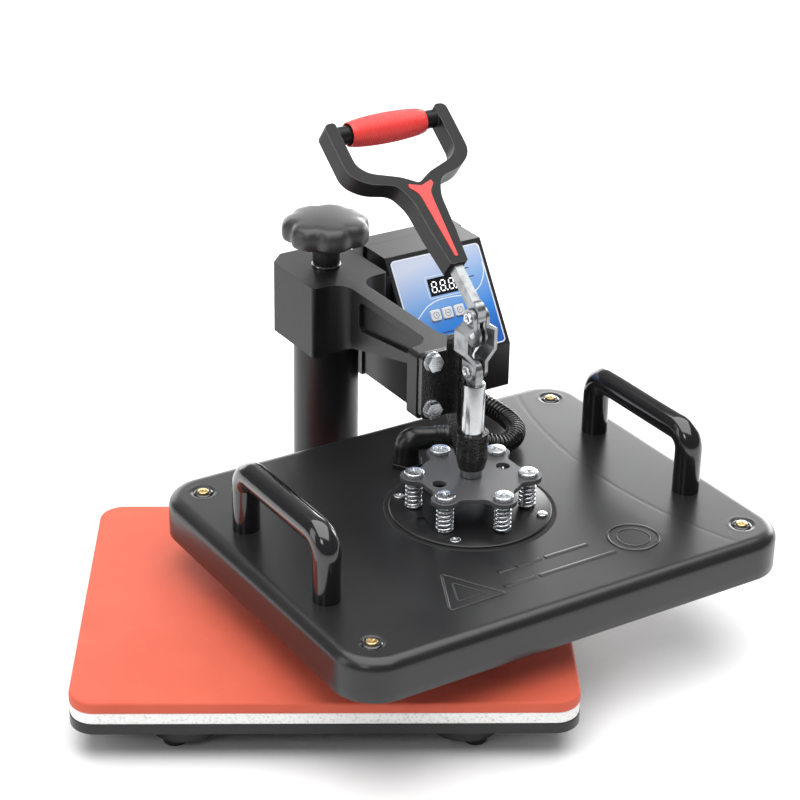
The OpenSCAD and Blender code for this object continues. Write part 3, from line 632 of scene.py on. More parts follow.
def make_pad():
    """Silicone foam pad with soft edges and a flat top."""
    low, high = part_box("silicone_pad")
    half_x, half_y, corner = (high.x - low.x) / 2, (high.y - low.y) / 2, 20 * MM
    t = high.z - low.z
    bm = bmesh.new()
    outline = rounded_outline(half_x, half_y, corner, 14, 44)
    profile = [(1.3, 0.0), (0.3, 0.25), (0.0, 1.2)]
    profile += [(0.0, t / MM * 0.5)]
    for a in range(0, 91, 18):
        profile.append((2.2 - 2.2 * math.cos(rad(a)), t / MM - 2.2 + 2.2 * math.sin(rad(a))))
    skin = wall_rings(bm, outline, [(inset * MM, z * MM) for inset, z in profile], low.z)
    bm.faces.new(list(reversed(skin[0])))
    inner = skin[-1]
    for inset in (6, 12, 20):
        loop = [bm.verts.new((x - nx * inset * MM, y - ny * inset * MM, high.z)) for x, y, nx, ny in outline]
        join_loops(bm, inner, loop)
        inner = loop
    fill = bm.faces.new(inner)
    bmesh.ops.triangulate(bm, faces=[fill])
    pad = from_bmesh("pad_skin", bm, "pad_red", Matrix.Translation((PAD_MID.x, PAD_MID.y, 0)), sharp=60)
    stand_for(pad, ["silicone_pad"])


def rounded_outline(half_x, half_y, corner, corner_steps, side_steps, side_steps_y=None):
    """Points (x, y, nx, ny) anticlockwise round a rounded rectangle, with outward directions."""
    points = []
    side_steps_y = side_steps_y or side_steps
    spots = [
        (half_x - corner, half_y - corner, 0), (-half_x + corner, half_y - corner, 90),
        (-half_x + corner, -half_y + corner, 180), (half_x - corner, -half_y + corner, 270),
    ]
    for k, (cx, cy, start) in enumerate(spots):
        for i in range(corner_steps + 1):
            a = rad(start + 90 * i / corner_steps)
            points.append((cx + corner * math.cos(a), cy + corner * math.sin(a), math.cos(a), math.sin(a)))
        nx, ny = points[-1][2], points[-1][3]
        next_cx, next_cy = spots[(k + 1) % 4][:2]
        a = rad(start + 90)
        to = (next_cx + corner * math.cos(a), next_cy + corner * math.sin(a))
        at = points[-1][:2]
        steps = side_steps if k % 2 == 0 else side_steps_y
        for i in range(1, steps):
            f = i / steps
            points.append((at[0] + (to[0] - at[0]) * f, at[1] + (to[1] - at[1]) * f, nx, ny))
    return points


def join_loops(bm, a, b):
    for k in range(len(a)):
        j = (k + 1) % len(a)
        bm.faces.new((a[k], a[j], b[j], b[k]))


def wall_rings(bm, outline, profile, z0):
    """Rings of a wall whose section is [(inset, height)]."""
    rings = [[bm.verts.new((x - nx * inset, y - ny * inset, z0 + z)) for x, y, nx, ny in outline]
             for inset, z in profile]
    for a, b in zip(rings, rings[1:]):
        join_loops(bm, a, b)
    return rings


make_pad()

# ---------------------------------------------------------------- pressure knob

KNOB_LOW, KNOB_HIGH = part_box("pressure_knob")


def make_knob():
    """Seven-lobed moulded knob: rounded lobes, a domed top and a neck."""
    r_out = (KNOB_HIGH.x - KNOB_LOW.x) / 2
    base, lobes, steps = KNOB_HIGH.z - 0.021, 7, 168
    section = [
        (0.0, 0.0, 0), (0.3, 0.0, 0), (0.62, 0.0, 0.3), (0.9, 0.0, 0.9),
        (0.965, 0.0012, 1), (0.99, 0.0035, 1),
        (1.0, 0.0065, 1), (0.999, 0.0095, 1), (0.985, 0.0128, 1), (0.955, 0.0155, 1), (0.9, 0.0176, 0.95),
        (0.82, 0.0189, 0.75), (0.7, 0.0197, 0.4), (0.52, 0.0202, 0.12), (0.3, 0.0207, 0), (0.0, 0.021, 0)
    ]
    bm = bmesh.new()
    rings = []
    for share, z, wave in section:
        if share == 0:
            rings.append([bm.verts.new((0, 0, base + z))])
            continue
        ring = []
        for k in range(steps):
            a = TAU * k / steps
            dip = (0.5 + 0.5 * math.cos(lobes * a)) ** 2.2
            r = r_out * share * (1 - 0.105 * dip * wave)
            ring.append(bm.verts.new((r * math.cos(a), r * math.sin(a), base + z)))
        rings.append(ring)
    for a, b in zip(rings, rings[1:]):
        for k in range(steps):
            j = (k + 1) % steps
            if len(a) == 1:
                bm.faces.new((a[0], b[j], b[k]))
            elif len(b) == 1:
                bm.faces.new((a[k], a[j], b[0]))
            else:
                bm.faces.new((a[k], a[j], b[j], b[k]))
    neck = KNOB_LOW.z
    lathe(bm, [(0.0112, neck), (0.0115, neck + 0.001), (0.0118, neck + 0.012), (0.0128, base - 0.005),
               (0.0165, base - 0.001), (0.0175, base + 0.0005)], 48)
    place = Matrix.Translation((COLUMN.x, COLUMN.y, 0))
    knob = from_bmesh("knob_moulding", bm, "knob_plastic", place, sharp=60)
    stand_for(knob, ["pressure_knob"])


make_knob()
soften("knob_ring", 0.0003)
soften("pressure_screw", 0.0005)

# ---------------------------------------------------------------- arm

soften("arm_casting", 0.0028, 4, 20)
soften("toggle_bracket", 0.0016, 3, 22)
soften("bracket_bolts", 0.00035, 2)
soften("bracket_washers", 0.0003, 2)
soften("lever_pivot_pin", 0.0005)
soften("control_mount", 0.001)

# ---------------------------------------------------------------- control box

soften("control_case", 0.0016, 4)
soften("control_back", 0.0022, 3)
soften("conduit_gland", 0.0006, 2)
soften("power_switch", 0.0006, 2)
soften("power_inlet", 0.0006, 2)
soften("fuse_holder", 0.0005, 2)

PANEL_TILT = math.atan2(52, 80)
PANEL_LENGTH = math.hypot(52, 80) * MM
PANEL_W = 97 * MM
PANEL = (
    ARM @ Matrix.Translation((93.5 * MM, 154 * MM, 0.165)) @ Matrix.Rotation(rad(90) - PANEL_TILT, 4, "X")
)
DISPLAY_Y = 62 * MM
DISPLAY_W = 30 * MM
DISPLAY_H = 15.5 * MM
KEY_X = -4 * MM
KEY_Y = 38 * MM
KEY_HALF = 5 * MM
KEY_STEP = 12 * MM
LABEL_MARGIN = 3.5 * MM
LABEL_FOOT = 2 * MM
LABEL_HEAD = 4 * MM


def flat_strip(bm, points, width, z0, z1, closed=False):
    """A raised line of that width along plan points."""
    points = [Vector((*p, 0)) for p in points]
    n = len(points)
    left, right = [], []
    for i, p in enumerate(points):
        a = points[(i - 1) % n] if closed or i > 0 else p
        b = points[(i + 1) % n] if closed or i < n - 1 else p
        way = (b - a).normalized()
        side = Vector((-way.y, way.x, 0)) * width / 2
        left.append(p + side)
        right.append(p - side)
    rings = []
    for l, r in zip(left, right):
        inset = (r - l) * 0.15
        knee = z0 * 0.3 + z1 * 0.7
        section = ((l, z0), (l, knee), (l + inset, z1), (r - inset, z1), (r, knee), (r, z0))
        rings.append([bm.verts.new((v.x, v.y, z)) for v, z in section])
    pairs = list(zip(rings, rings[1:])) + ([(rings[-1], rings[0])] if closed else [])
    for a, b in pairs:
        for k in range(6):
            j = (k + 1) % 6
            bm.faces.new((a[k], a[j], b[j], b[k]))
    if not closed:
        bm.faces.new(rings[0])
        bm.faces.new(list(reversed(rings[-1])))
    return bm


def arc_points(cx, cy, r, start, end, steps):
    return [(cx + r * math.cos(rad(start + (end - start) * k / steps)),
             cy + r * math.sin(rad(start + (end - start) * k / steps))) for k in range(steps + 1)]


def swoosh(w):
    """A curve round the keys' field: it climbs over the keys, bulges right and closes at the side."""
    points = [(-w + 0.004, 0.032), (-0.030, 0.041), (-0.020, 0.0475), (-0.008, 0.0505), (0.006, 0.0505),
              (0.018, 0.0495), (0.029, 0.051), (0.0365, 0.056), (w - 0.0024, 0.066), (w - 0.0018, 0.074)]
    return [(p.x, p.y) for p in smooth_path([(x, y, 0) for x, y in points], 6)]


def make_label():
    """Printed membrane with a window, key openings and thin raised print."""
    low, high = 0.02 * MM, 0.5 * MM
    bm = bmesh.new()
    w = PANEL_W / 2 - LABEL_MARGIN
    h = (PANEL_LENGTH - LABEL_FOOT - LABEL_HEAD) / 2
    middle = LABEL_FOOT + h
    outline = rounded_outline(w, h, 4 * MM, 8, 2)
    rings = wall_rings(bm, outline, [(0, low), (0, high - 0.0001), (0.0001, high)], 0)
    bm.faces.new(list(reversed(rings[0])))
    bm.faces.new(rings[-1])
    label_mat = panel_print("panel_blue", 0.004, PANEL_LENGTH * 0.92)
    label = from_bmesh("label_sheet", bm, label_mat, Matrix.Translation((0, middle, 0)), sharp=30)
    cuts = bmesh.new()
    bar(cuts, (DISPLAY_W, DISPLAY_H, 0.004), (0, DISPLAY_Y, 0))
    for k in (-1, 0, 1):
        part = rounded_outline(KEY_HALF + 0.0004, KEY_HALF + 0.0004, 0.0022, 6, 1)
        loops = wall_rings(cuts, part, [(0, -0.002), (0, 0.002)], 0)
        for loop in loops:
            for v in loop:
                v.co.x += KEY_X + k * KEY_STEP
                v.co.y += KEY_Y
        cuts.faces.new(list(reversed(loops[0])))
        cuts.faces.new(loops[-1])
    cutter = from_bmesh("label_cutter", cuts, "panel_white", smooth=False)
    boolean_cut(label, cutter)
    label.matrix_world = PANEL
    stand_for(label, ["panel_label"])

    bm = bmesh.new()
    top = high + 0.00012
    frame_line = [(x, y + middle) for x, y, _, _ in rounded_outline(w - 0.0006, h - 0.0006, 3.4 * MM, 8, 4)]
    flat_strip(bm, frame_line, 0.0011, high - 0.0001, top, closed=True)
    gap = 0.0018
    around = rounded_outline(DISPLAY_W / 2 + gap, DISPLAY_H / 2 + gap, 0.0012, 4, 2)
    window = [(x, y + DISPLAY_Y) for x, y, _, _ in around]
    flat_strip(bm, window, 0.0006, high - 0.0001, top, closed=True)
    flat_strip(bm, swoosh(w), 0.0009, high - 0.0001, top)
    lines = from_bmesh("label_lines", bm, "panel_white", sharp=30)
    lines.matrix_world = PANEL
    detail(lines, "arm", "panel_blue")

    bm = bmesh.new()
    for y, x0, x1 in ((0.080, 0.0215, 0.0285), (0.072, 0.0235, 0.0285),
                      (0.064, 0.0255, 0.0315), (0.022, -0.014, 0.010)):
        flat_strip(bm, [(x0, y), ((x0 + x1) / 2, y), (x1, y)], 0.001, high - 0.0001, top)
    marks = from_bmesh("label_marks", bm, "panel_ink", sharp=30)
    marks.matrix_world = PANEL
    detail(marks, "arm", "panel_blue")


def make_display():
    """Dark window with three white seven-segment eights and their points."""
    bm = bmesh.new()
    outline = rounded_outline(DISPLAY_W / 2 - 0.0001, DISPLAY_H / 2 - 0.0001, 0.0006, 4, 1)
    rings = wall_rings(bm, outline, [(0, -0.003), (0, -0.0003), (0.0003, 0)], 0)
    bm.faces.new(list(reversed(rings[0])))
    bm.faces.new(rings[-1])
    glass = from_bmesh("display_glass", bm, "display_dark", Matrix.Translation((0, DISPLAY_Y, 0)), sharp=30)
    glass.matrix_world = PANEL
    stand_for(glass, ["display_window"])
    bm = bmesh.new()
    half_w, half_h, t = 0.0023, 0.0045, 0.0009
    for k in (-1, 0, 1):
        cx = k * 0.0087 - 0.0006
        slant = 0.12
        for x0, y0, x1, y1 in (
            (-half_w, half_h, half_w, half_h), (-half_w, 0, half_w, 0), (-half_w, -half_h, half_w, -half_h),
            (-half_w, 0, -half_w, half_h), (half_w, 0, half_w, half_h),
            (-half_w, -half_h, -half_w, 0), (half_w, -half_h, half_w, 0),
        ):
            way = Vector((x1 - x0, y1 - y0, 0)).normalized() * 0.0007
            a = Vector((x0, y0, 0)) + way
            b = Vector((x1, y1, 0)) - way
            ends = [(p.x + slant * p.y + cx, p.y + DISPLAY_Y) for p in (a, (a + b) / 2, b)]
            flat_strip(bm, ends, t, -0.0001, 0.00018)
        dot = [(x + cx + half_w + 0.0013, y + DISPLAY_Y - half_h)
               for x, y in arc_points(0, 0, 0.0004, 0, 330, 11)]
        flat_strip(bm, dot, 0.0007, -0.0001, 0.00018, closed=True)
    digits = from_bmesh("display_digits", bm, "digit", sharp=30)
    digits.matrix_world = PANEL
    detail(digits, "arm", "display_dark")


def make_keys():
    """Rounded-square caps with a printed ring."""
    for k, node in ((-1, "button_left"), (0, "button_middle"), (1, "button_right")):
        place = PANEL @ Matrix.Translation((KEY_X + k * KEY_STEP, KEY_Y, 0))
        bm = bmesh.new()
        outline = rounded_outline(KEY_HALF, KEY_HALF, 0.0018, 6, 3)
        profile = [(0, -0.004), (0, 0.0013), (0.0002, 0.0017), (0.0006, 0.00195), (0.0012, 0.002)]
        rings = wall_rings(bm, outline, profile, 0)
        bm.faces.new(list(reversed(rings[0])))
        bm.faces.new(rings[-1])
        cap = from_bmesh(node + "_cap", bm, "button_grey", sharp=50)
        cap.matrix_world = place
        stand_for(cap, [node])
        bm = bmesh.new()
        ring = arc_points(0, 0, 0.0027, 100, 440, 28)
        flat_strip(bm, ring, 0.00045, 0.0019, 0.00208)
        if k:
            chevron = [(-0.0011 * k, 0.0009), (0.0005 * k, 0), (-0.0011 * k, -0.0009)]
            flat_strip(bm, chevron, 0.0005, 0.0019, 0.00208)
        else:
            flat_strip(bm, [(-0.0013, 0), (0, 0), (0.0013, 0)], 0.0006, 0.0019, 0.00208)
        mark = from_bmesh(node + "_mark", bm, "panel_ink", sharp=30)
        mark.matrix_world = place
        detail(mark, frame["nodes"][node]["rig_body"], "button_grey")


make_label()
make_display()
make_keys()

# ---------------------------------------------------------------- lever and links

soften("lever_bar", 0.0011, 3)
# The handle frame's bevel faces take the light grey material: a painted highlight along all its edges.
soften("handle_frame", 0.0023, 3, 30, edge_material="handle_painted_highlight")
soften("handle_inlay", 0.0004, 2)
soften("link_left", 0.0007, 2)
soften("link_right", 0.0007, 2)
# The spring plate is drawn in the lighter grey: painted reflection.
soften("spring_plate", 0.0007, 3, material="plate_painted_reflection")
soften("rod_nut", 0.0006, 2)


def make_rod():
    """Ground rod with a chamfered shoulder, a flat eyed tab on top and a turned foot."""
    low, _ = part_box("press_rod")
    tab_x, eye_r = 0.0036, 0.0031
    rod_top = LOWER_Z - 0.0115
    r, foot_r = 0.00875, 0.0059
    bm = bmesh.new()
    lathe(bm, [(0, low.z), (foot_r, low.z), (foot_r, PLATE_HIGH.z),
               (r - 0.0007, PLATE_HIGH.z), (r, PLATE_HIGH.z + 0.0007),
               (r, rod_top - 0.001), (r - 0.0003, rod_top - 0.0003), (r - 0.0012, rod_top), (0, rod_top)], 96)
    rod = from_bmesh("rod_shaft", bm, "chrome", ARM, sharp=40)
    stand_for(rod, ["press_rod"])
    bm = bmesh.new()
    outer = [(-0.007, rod_top - 0.001)] + [
        (-0.007 * math.cos(rad(a)), LOWER_Z + 0.007 * math.sin(rad(a))) for a in range(0, 181, 10)
    ] + [(0.007, rod_top - 0.001)]
    bevel = 0.0006
    faces = []
    for x, inset in ((-tab_x, bevel), (-tab_x + bevel, 0), (tab_x - bevel, 0), (tab_x, bevel)):
        mid = LOWER_Z - 0.003
        faces.append([bm.verts.new((x, y - math.copysign(inset, y), z - (inset if z > mid else 0)))
                      for y, z in outer])
    for a, b in zip(faces, faces[1:]):
        join_loops(bm, a, b)
    bm.faces.new(faces[0])
    bm.faces.new(list(reversed(faces[-1])))
    tab = from_bmesh("rod_tab", bm, "plated_steel", sharp=35)
    eye = lathe(bmesh.new(), [(0, -0.01), (eye_r, -0.01), (eye_r, 0.01), (0, 0.01)], 32)
    hole = from_bmesh("tab_cutter", eye, "plated_steel",
                      Matrix.Translation((0, 0, LOWER_Z)) @ Matrix.Rotation(rad(90), 4, "Y"))
    boolean_cut(tab, hole)
    tab.matrix_world = ARM
    detail(tab, "plunger", "chrome")


def rivet(bm, matrix, length):
    """Tubular rivet head: a rolled ring round a hollow shank."""
    lathe(bm, [(0, -length), (0.00296, -length), (0.00296, 0), (0.0049, 0), (0.005, 0.0004), (0.0047, 0.0013),
               (0.0038, 0.0018), (0.003, 0.0017), (0.0024, 0.0012), (0.0021, 0.0002),
               (0.0019, -0.002), (0, -0.002)],
          40, matrix)


def make_rivets():
    """Hollow rivets through the links: one pair above, one pair below."""
    outer, inner = 0.0072, 0.0039
    for name, z, length, node in (("upper_rivets", LINK_Z, outer, "link_pin_upper"),
                                  ("lower_rivets", LOWER_Z, outer - inner, "link_rivets")):
        bm = bmesh.new()
        for side in (-1, 1):
            turn = Matrix.Rotation(rad(90 * side), 4, "Y")
            rivet(bm, ARM @ Matrix.Translation((side * (outer + 0.00005), 0, z)) @ turn, length)
        stand_for(from_bmesh(name, bm, "zinc", sharp=40), [node])


make_rod()
make_rivets()


def make_grip():
    """Barrel grip with fine moulded rings, pulled in at both ends."""
    bm = bmesh.new()
    steps = 272
    half = 34 * MM
    profile = [(0.0088, -half), (0.0096, -half + 0.0001)]
    for i in range(steps + 1):
        z = -half + 2 * half * i / steps
        r = 0.0124 - 0.0022 * (z / half) ** 2
        near_end = min(1.0, (half - abs(z)) / 0.006)
        rib = 0.00045 * (0.5 + 0.5 * math.cos(TAU * z / 0.0017)) ** 0.6 * max(0.0, near_end)
        profile.append((r - 0.00045 + rib, z * 0.9995))
    profile += [(0.0096, half - 0.0001), (0.0088, half)]
    lathe(bm, profile, 64)
    bm.transform(HANDLE @ Matrix.Translation((0, 171 * MM, 0)) @ Matrix.Rotation(rad(90), 4, "Y"))
    grip = from_bmesh("grip_sleeve", bm, "grip_red", sharp=50)
    stand_for(grip, ["handle_grip"])


make_grip()

# ---------------------------------------------------------------- platen

soften("heating_plate", 0.0016, 3)


def cover_height(x, y):
    """Small relief of the cover's top, in millimetres: screw recesses and pressed crease lines."""
    z = 0.0
    for sx in (-170.5, 170.5):
        for sy in (-130, 130):
            d = math.hypot(x - sx, y - sy)
            if d < 12:
                z -= 1.1 * (1 - smooth(8.2, 9.8, d))
                z += 0.25 * math.exp(-((d - 10.2) / 0.9) ** 2)
    for side in (-1, 1):
        centre = side * (121 + 419)
        d = abs(math.hypot(x - centre, y) - 419)
        z -= 0.12 * math.exp(-(d / 0.9) ** 2)
    return z


def smooth(a, b, x):
    t = max(0.0, min(1.0, (x - a) / (b - a)))
    return t * t * (3 - 2 * t)


def corner_map(x, y, half_x, half_y, r):
    """Bends a rectangle's corner squares into quarter discs."""
    a, b = abs(x) - (half_x - r), abs(y) - (half_y - r)
    if a <= 0 or b <= 0:
        return x, y
    share = max(a, b) / math.hypot(a, b)
    return (math.copysign(half_x - r + a * share, x), math.copysign(half_y - r + b * share, y))


def make_cover():
    """One pressed sheet: relief on top, a rolled edge, straight sides and a turned-in lip."""
    step = 1.7
    half_x, half_y, r = 190.0, 150.0, 25.0
    nx, ny = int(2 * half_x / step), int(2 * half_y / step)
    bm = bmesh.new()
    grid = []
    for j in range(ny + 1):
        row = []
        for i in range(nx + 1):
            x, y = corner_map(-half_x + 2 * half_x * i / nx, -half_y + 2 * half_y * j / ny, half_x, half_y, r)
            row.append(bm.verts.new((x * MM, y * MM, COVER_TOP + cover_height(x, y) * MM)))
        grid.append(row)
    for j in range(ny):
        for i in range(nx):
            bm.faces.new((grid[j][i], grid[j][i + 1], grid[j + 1][i + 1], grid[j + 1][i]))
    edge = grid[0][:-1] + [row[-1] for row in grid[:-1]] + grid[-1][:0:-1] + [row[0] for row in grid[:0:-1]]
    spots = []
    for v in edge:
        x, y = v.co.x / MM, v.co.y / MM
        a, b = abs(x) - (half_x - r), abs(y) - (half_y - r)
        if a > 0 and b > 0:
            n = Vector((math.copysign(a, x), math.copysign(b, y), 0)).normalized()
        elif abs(x) > half_x - 0.001:
            n = Vector((math.copysign(1, x), 0, 0))
        else:
            n = Vector((0, math.copysign(1, y), 0))
        spots.append((v, n))
    profile = [(10 * math.sin(rad(a)), -10 + 10 * math.cos(rad(a))) for a in range(9, 91, 9)]
    height = (COVER_TOP - COVER_LOW.z) / MM
    profile += [(10, -18), (10, -26), (10, -height + 1), (9.7, -height + 0.3), (9.0, -height),
                (8.4, -height + 0.5), (8.4, -26), (8.4, -16)]
    last = edge
    for out, z in profile:
        ring = [bm.verts.new((v.co.x + n.x * out * MM, v.co.y + n.y * out * MM, COVER_TOP + z * MM))
                for v, n in spots]
        join_loops(bm, last, ring)
        last = ring
    cover = from_bmesh("cover_sheet", bm, "cover_black", ARM, sharp=60)
    stand_for(cover, ["platen_cover"])


make_cover()


def raised_line(bm, points, width, height, closed=True):
    """A pressed, rounded line on the cover."""
    shape = smooth_path(points, 1) if not closed else [Vector(p) for p in points]
    n = len(shape)
    rings = []
    for i, p in enumerate(shape):
        a, b = shape[(i - 1) % n], shape[(i + 1) % n]
        if not closed:
            a, b = shape[max(i - 1, 0)], shape[min(i + 1, n - 1)]
        side = (b - a).normalized().cross(Vector((0, 0, 1)))
        ring = []
        for k in range(9):
            t = math.pi * k / 8
            ring.append(bm.verts.new(p + side * math.cos(t) * width / 2
                                     + Vector((0, 0, math.sin(t) * height - 0.0002))))
        rings.append(ring)
    pairs = list(zip(rings, rings[1:])) + ([(rings[-1], rings[0])] if closed else [])
    for a, b in pairs:
        for k in range(9):
            j = (k + 1) % 9
            bm.faces.new((a[k], a[j], b[j], b[k]))
    if not closed:
        bm.faces.new(rings[0])
        bm.faces.new(list(reversed(rings[-1])))


def rounded_polygon(corners, r, steps=5):
    """Plan points round a polygon whose corners are rounded."""
    out = []
    n = len(corners)
    for i in range(n):
        a, b, c = (Vector((*corners[(i + k) % n], 0)) for k in (-1, 0, 1))
        p, q = b + (a - b).normalized() * r, b + (c - b).normalized() * r
        for k in range(steps + 1):
            t = k / steps
            out.append(p * (1 - t) ** 2 + b * 2 * t * (1 - t) + q * t * t)
    return out


def make_emboss():
    """Plain raised shapes where the real cover has pressed signs: a triangle, two bars and a circle."""
    bm = bmesh.new()
    z = COVER_TOP

    def put(points):
        return [Vector((p[0] * MM, p[1] * MM, z)) for p in points]

    triangle = [(-75.6, -74.4), (-98.7, -122.3), (-48.9, -122.1)]
    raised_line(bm, put(rounded_polygon(triangle, 4)), 0.0022, 0.0009)
    inner = [(-75.2, -89), (-86.5, -114), (-61.5, -114)]
    raised_line(bm, put(rounded_polygon(inner, 2.5)), 0.0014, 0.0006)
    raised_line(bm, put(arc_points(84, -103, 20, 0, 352, 44)), 0.0022, 0.0009)
    raised_line(bm, put(arc_points(84, -103, 13, 0, 352, 44)), 0.0014, 0.0006)
    for (x0, x1, y), shares in (((-37, 46, -94), (0.2, 0.3, 0.5)), ((-44.5, 58, -114), (0.3, 0.7))):
        at = x0
        for share in shares:
            end = at + (x1 - x0 + 4) * share - 4
            raised_line(bm, put([(at, y), ((at + end) / 2, y), (end, y)]), 0.0052, 0.0008, closed=False)
            at = end + 4
    emboss = from_bmesh("cover_emboss", bm, "cover_black", ARM, sharp=60)
    detail(emboss, "platen", "cover_black")


make_emboss()


def make_disc():
    """Mounting disc with a rolled rim, a near-black ring of painted shade in the groove round it and a long
    slot.
    """
    bm = bmesh.new()
    z0, r = COVER_TOP, 0.065
    profile = [(0, z0), (r, z0), (r, z0 + 0.0010), (r - 0.0004, z0 + 0.0016), (r - 0.0013, DISC_TOP)]
    lathe(bm, profile + [(0, DISC_TOP)], 160)
    disc = from_bmesh("disc_plate", bm, "satin_black", sharp=40)
    slot_cut = bmesh.new()
    outline = rounded_outline(0.011, 0.0036, 0.0036, 8, 1)
    rings = wall_rings(slot_cut, outline, [(0, -0.0012), (0, 0.002)], DISC_TOP)
    slot_cut.faces.new(list(reversed(rings[0])))
    slot_cut.faces.new(rings[-1])
    cutter = from_bmesh("disc_cutter", slot_cut, "satin_black",
                        Matrix.Translation((-0.047, -0.006, 0)) @ Matrix.Rotation(rad(75), 4, "Z"),
                        smooth=False)
    boolean_cut(disc, cutter)
    disc.data.polygons.foreach_set("use_smooth", [True] * len(disc.data.polygons))
    disc.data.set_sharp_from_angle(angle=rad(40))
    disc.matrix_world = ARM
    stand_for(disc, ["mounting_disc"])
    # Near-black ring over the groove and the thin rim round the disc: painted shade where the cover is only
    # in shadow.
    bm = bmesh.new()
    for k in range(96):
        a, b = TAU * k / 96, TAU * (k + 1) / 96
        quad = []
        for r0, z in ((0.0649, z0 + 0.0002), (0.0672, z0 + 0.00015), (0.0681, z0 + 0.0007),
                      (0.0688, z0 + 0.0004), (0.0692, z0)):
            quad.append((r0, z))
        for (ra, za), (rb, zb) in zip(quad, quad[1:]):
            bm.faces.new([bm.verts.new((rr * math.cos(t), rr * math.sin(t), zz))
                          for rr, zz, t in ((ra, za, a), (ra, za, b), (rb, zb, b), (rb, zb, a))])
    bmesh.ops.remove_doubles(bm, verts=bm.verts, dist=1e-6)
    seam = from_bmesh("disc_seam_painted_shade", bm, "groove_black", ARM, sharp=80)
    detail(seam, "platen", "gloss_black")


make_disc()


def ring_of(mesh, places, name, material, spin=17):
    """A head on each place, each turned a little differently."""
    parts = []
    for k, (x, y, z) in enumerate(places):
        turn = Matrix.Rotation(rad(spin * (k * k + 1)), 4, "Z")
        parts.append((mesh, ARM @ Matrix.Translation((x, y, z)) @ turn))
    return gather(name, parts, material)


def make_fixings():
    """Cross-recess heads: spring bolts, disc screws and cover screws."""
    head = head_mesh("bolt_head", dome(0.008, 0.0038), 0.0046, 0.0019, 0.0017, 0.0038, "zinc")
    circle = [(0.045 * math.cos(a), 0.045 * math.sin(a)) for a in spring_angles()]
    bolts = ring_of(head, [(x, y, PLATE_HIGH.z) for x, y in circle], "spring_bolt_heads", "zinc")
    bm = bmesh.new()
    shank_low = COVER_TOP - 0.02
    for x, y in circle:
        steps = 46
        profile = [(0, shank_low)]
        for i in range(steps):
            z = shank_low + (PLATE_HIGH.z - shank_low) * i / (steps - 1)
            profile.append((0.00392 if i % 2 else 0.00345, z))
        profile.append((0, PLATE_HIGH.z))
        lathe(bm, profile, 24, ARM @ Matrix.Translation((x, y, 0)))
    shanks = from_bmesh("spring_bolt_shanks", bm, "zinc", sharp=60)
    stand_for(bolts, ["spring_bolts"])
    detail(shanks, "platen", "zinc")
    small = head_mesh("disc_head", dome(0.0042, 0.0018), 0.0026, 0.0011, 0.0011, 0.0018, "zinc")
    spots = [(0.058 * math.cos(rad(a)), 0.058 * math.sin(rad(a)), DISC_TOP) for a in range(45, 360, 90)]
    stand_for(ring_of(small, spots, "disc_screw_heads", "zinc"), ["disc_screws"])
    brass = head_mesh("cover_head", dome(0.0046, 0.0026), 0.0028, 0.0012, 0.0013, 0.0026, "brass_screw")
    spots = [(sx * 0.1705, sy * 0.13, COVER_TOP - 0.0009) for sx in (-1, 1) for sy in (-1, 1)]
    stand_for(ring_of(brass, spots, "cover_screw_heads", "brass_screw"), ["cover_screws"])
    bm = bmesh.new()
    for x, y, z in spots:
        lathe(bm, [(0.0047, z - 0.0001), (0.0048, z + 0.0008), (0.0062, z + 0.0012),
                   (0.0078, z + 0.0006), (0.0082, z - 0.0001)],
              40, ARM @ Matrix.Translation((x, y, 0)))
    cups = from_bmesh("cover_screw_cups", bm, "gloss_black", sharp=60)
    detail(cups, "platen", "gloss_black")


make_fixings()


def make_springs():
    """Six true coils between the disc and the spring plate, with ground flat ends."""
    low, high = DISC_TOP, PLATE_LOW.z
    wire, radius, turns = 0.0013, 0.0057, 7.0
    for index, a0 in enumerate(spring_angles()):
        steps = int(turns * 28)
        points = []
        closed = 1.0 / turns
        span = high - low - 2 * wire
        for i in range(steps + 1):
            t = i / steps
            rise = max(0.0, min(1.0, (t - closed) / (1 - 2 * closed)))
            ends = (min(t, closed) + max(0.0, t - 1 + closed)) / closed * wire
            a = TAU * turns * t + index * 1.1
            z = low + wire + ends + (span - 2 * wire) * rise
            points.append((radius * math.cos(a), radius * math.sin(a), z))
        bm = tube(bmesh.new(), points, wire, 12)
        place = ARM @ Matrix.Translation((0.045 * math.cos(a0), 0.045 * math.sin(a0), 0))
        coil = from_bmesh(f"spring_coil_{index + 1}", bm, "zinc", place, sharp=70)
        if index == 0:
            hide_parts("platen_springs")
        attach(coil, "platen")
        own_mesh(coil)


make_springs()


def make_grab_handles():
    """Thick moulded loops with swept bends, the same thickness down to each foot."""
    for name, sx in (("grab_left", -1), ("grab_right", 1)):
        r, top, bend = 0.011, COVER_TOP + 0.051, 0.015
        y = 0.062
        points = [(sx * 0.168, -y, COVER_TOP + rise) for rise in (0, 0.001, 0.003)]
        points += [(sx * 0.168, -y, COVER_TOP + h) for h in (0.012, 0.024)]
        for i in range(13):
            a = rad(90 * i / 12)
            points.append((sx * 0.168, -y + bend - bend * math.cos(a), top - bend + bend * math.sin(a)))
        points += [(sx * 0.168, -0.03, top), (sx * 0.168, 0, top)]
        mirrored = [(x, -yy, z) for x, yy, z in reversed(points[:-1])]
        path = points + mirrored
        radii = [r] * len(path)
        for k, share in ((0, 1.0), (1, 1.0), (2, 1.0)):
            radii[k] = radii[-1 - k] = r * share
        bm = tube(bmesh.new(), path, r, 40, radii=radii)
        loop = from_bmesh(name, bm, "gloss_black", ARM, sharp=60)
        if sx < 0:
            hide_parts("platen_handles")
        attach(loop, "platen")


make_grab_handles()

# ---------------------------------------------------------------- elbow and conduit

ELBOW = Vector((-4 * MM, 88 * MM, 0))
ELBOW_WAY = Vector((math.cos(rad(-25)), math.sin(rad(-25)), 0))
ELBOW_Z = COVER_TOP + 0.0235


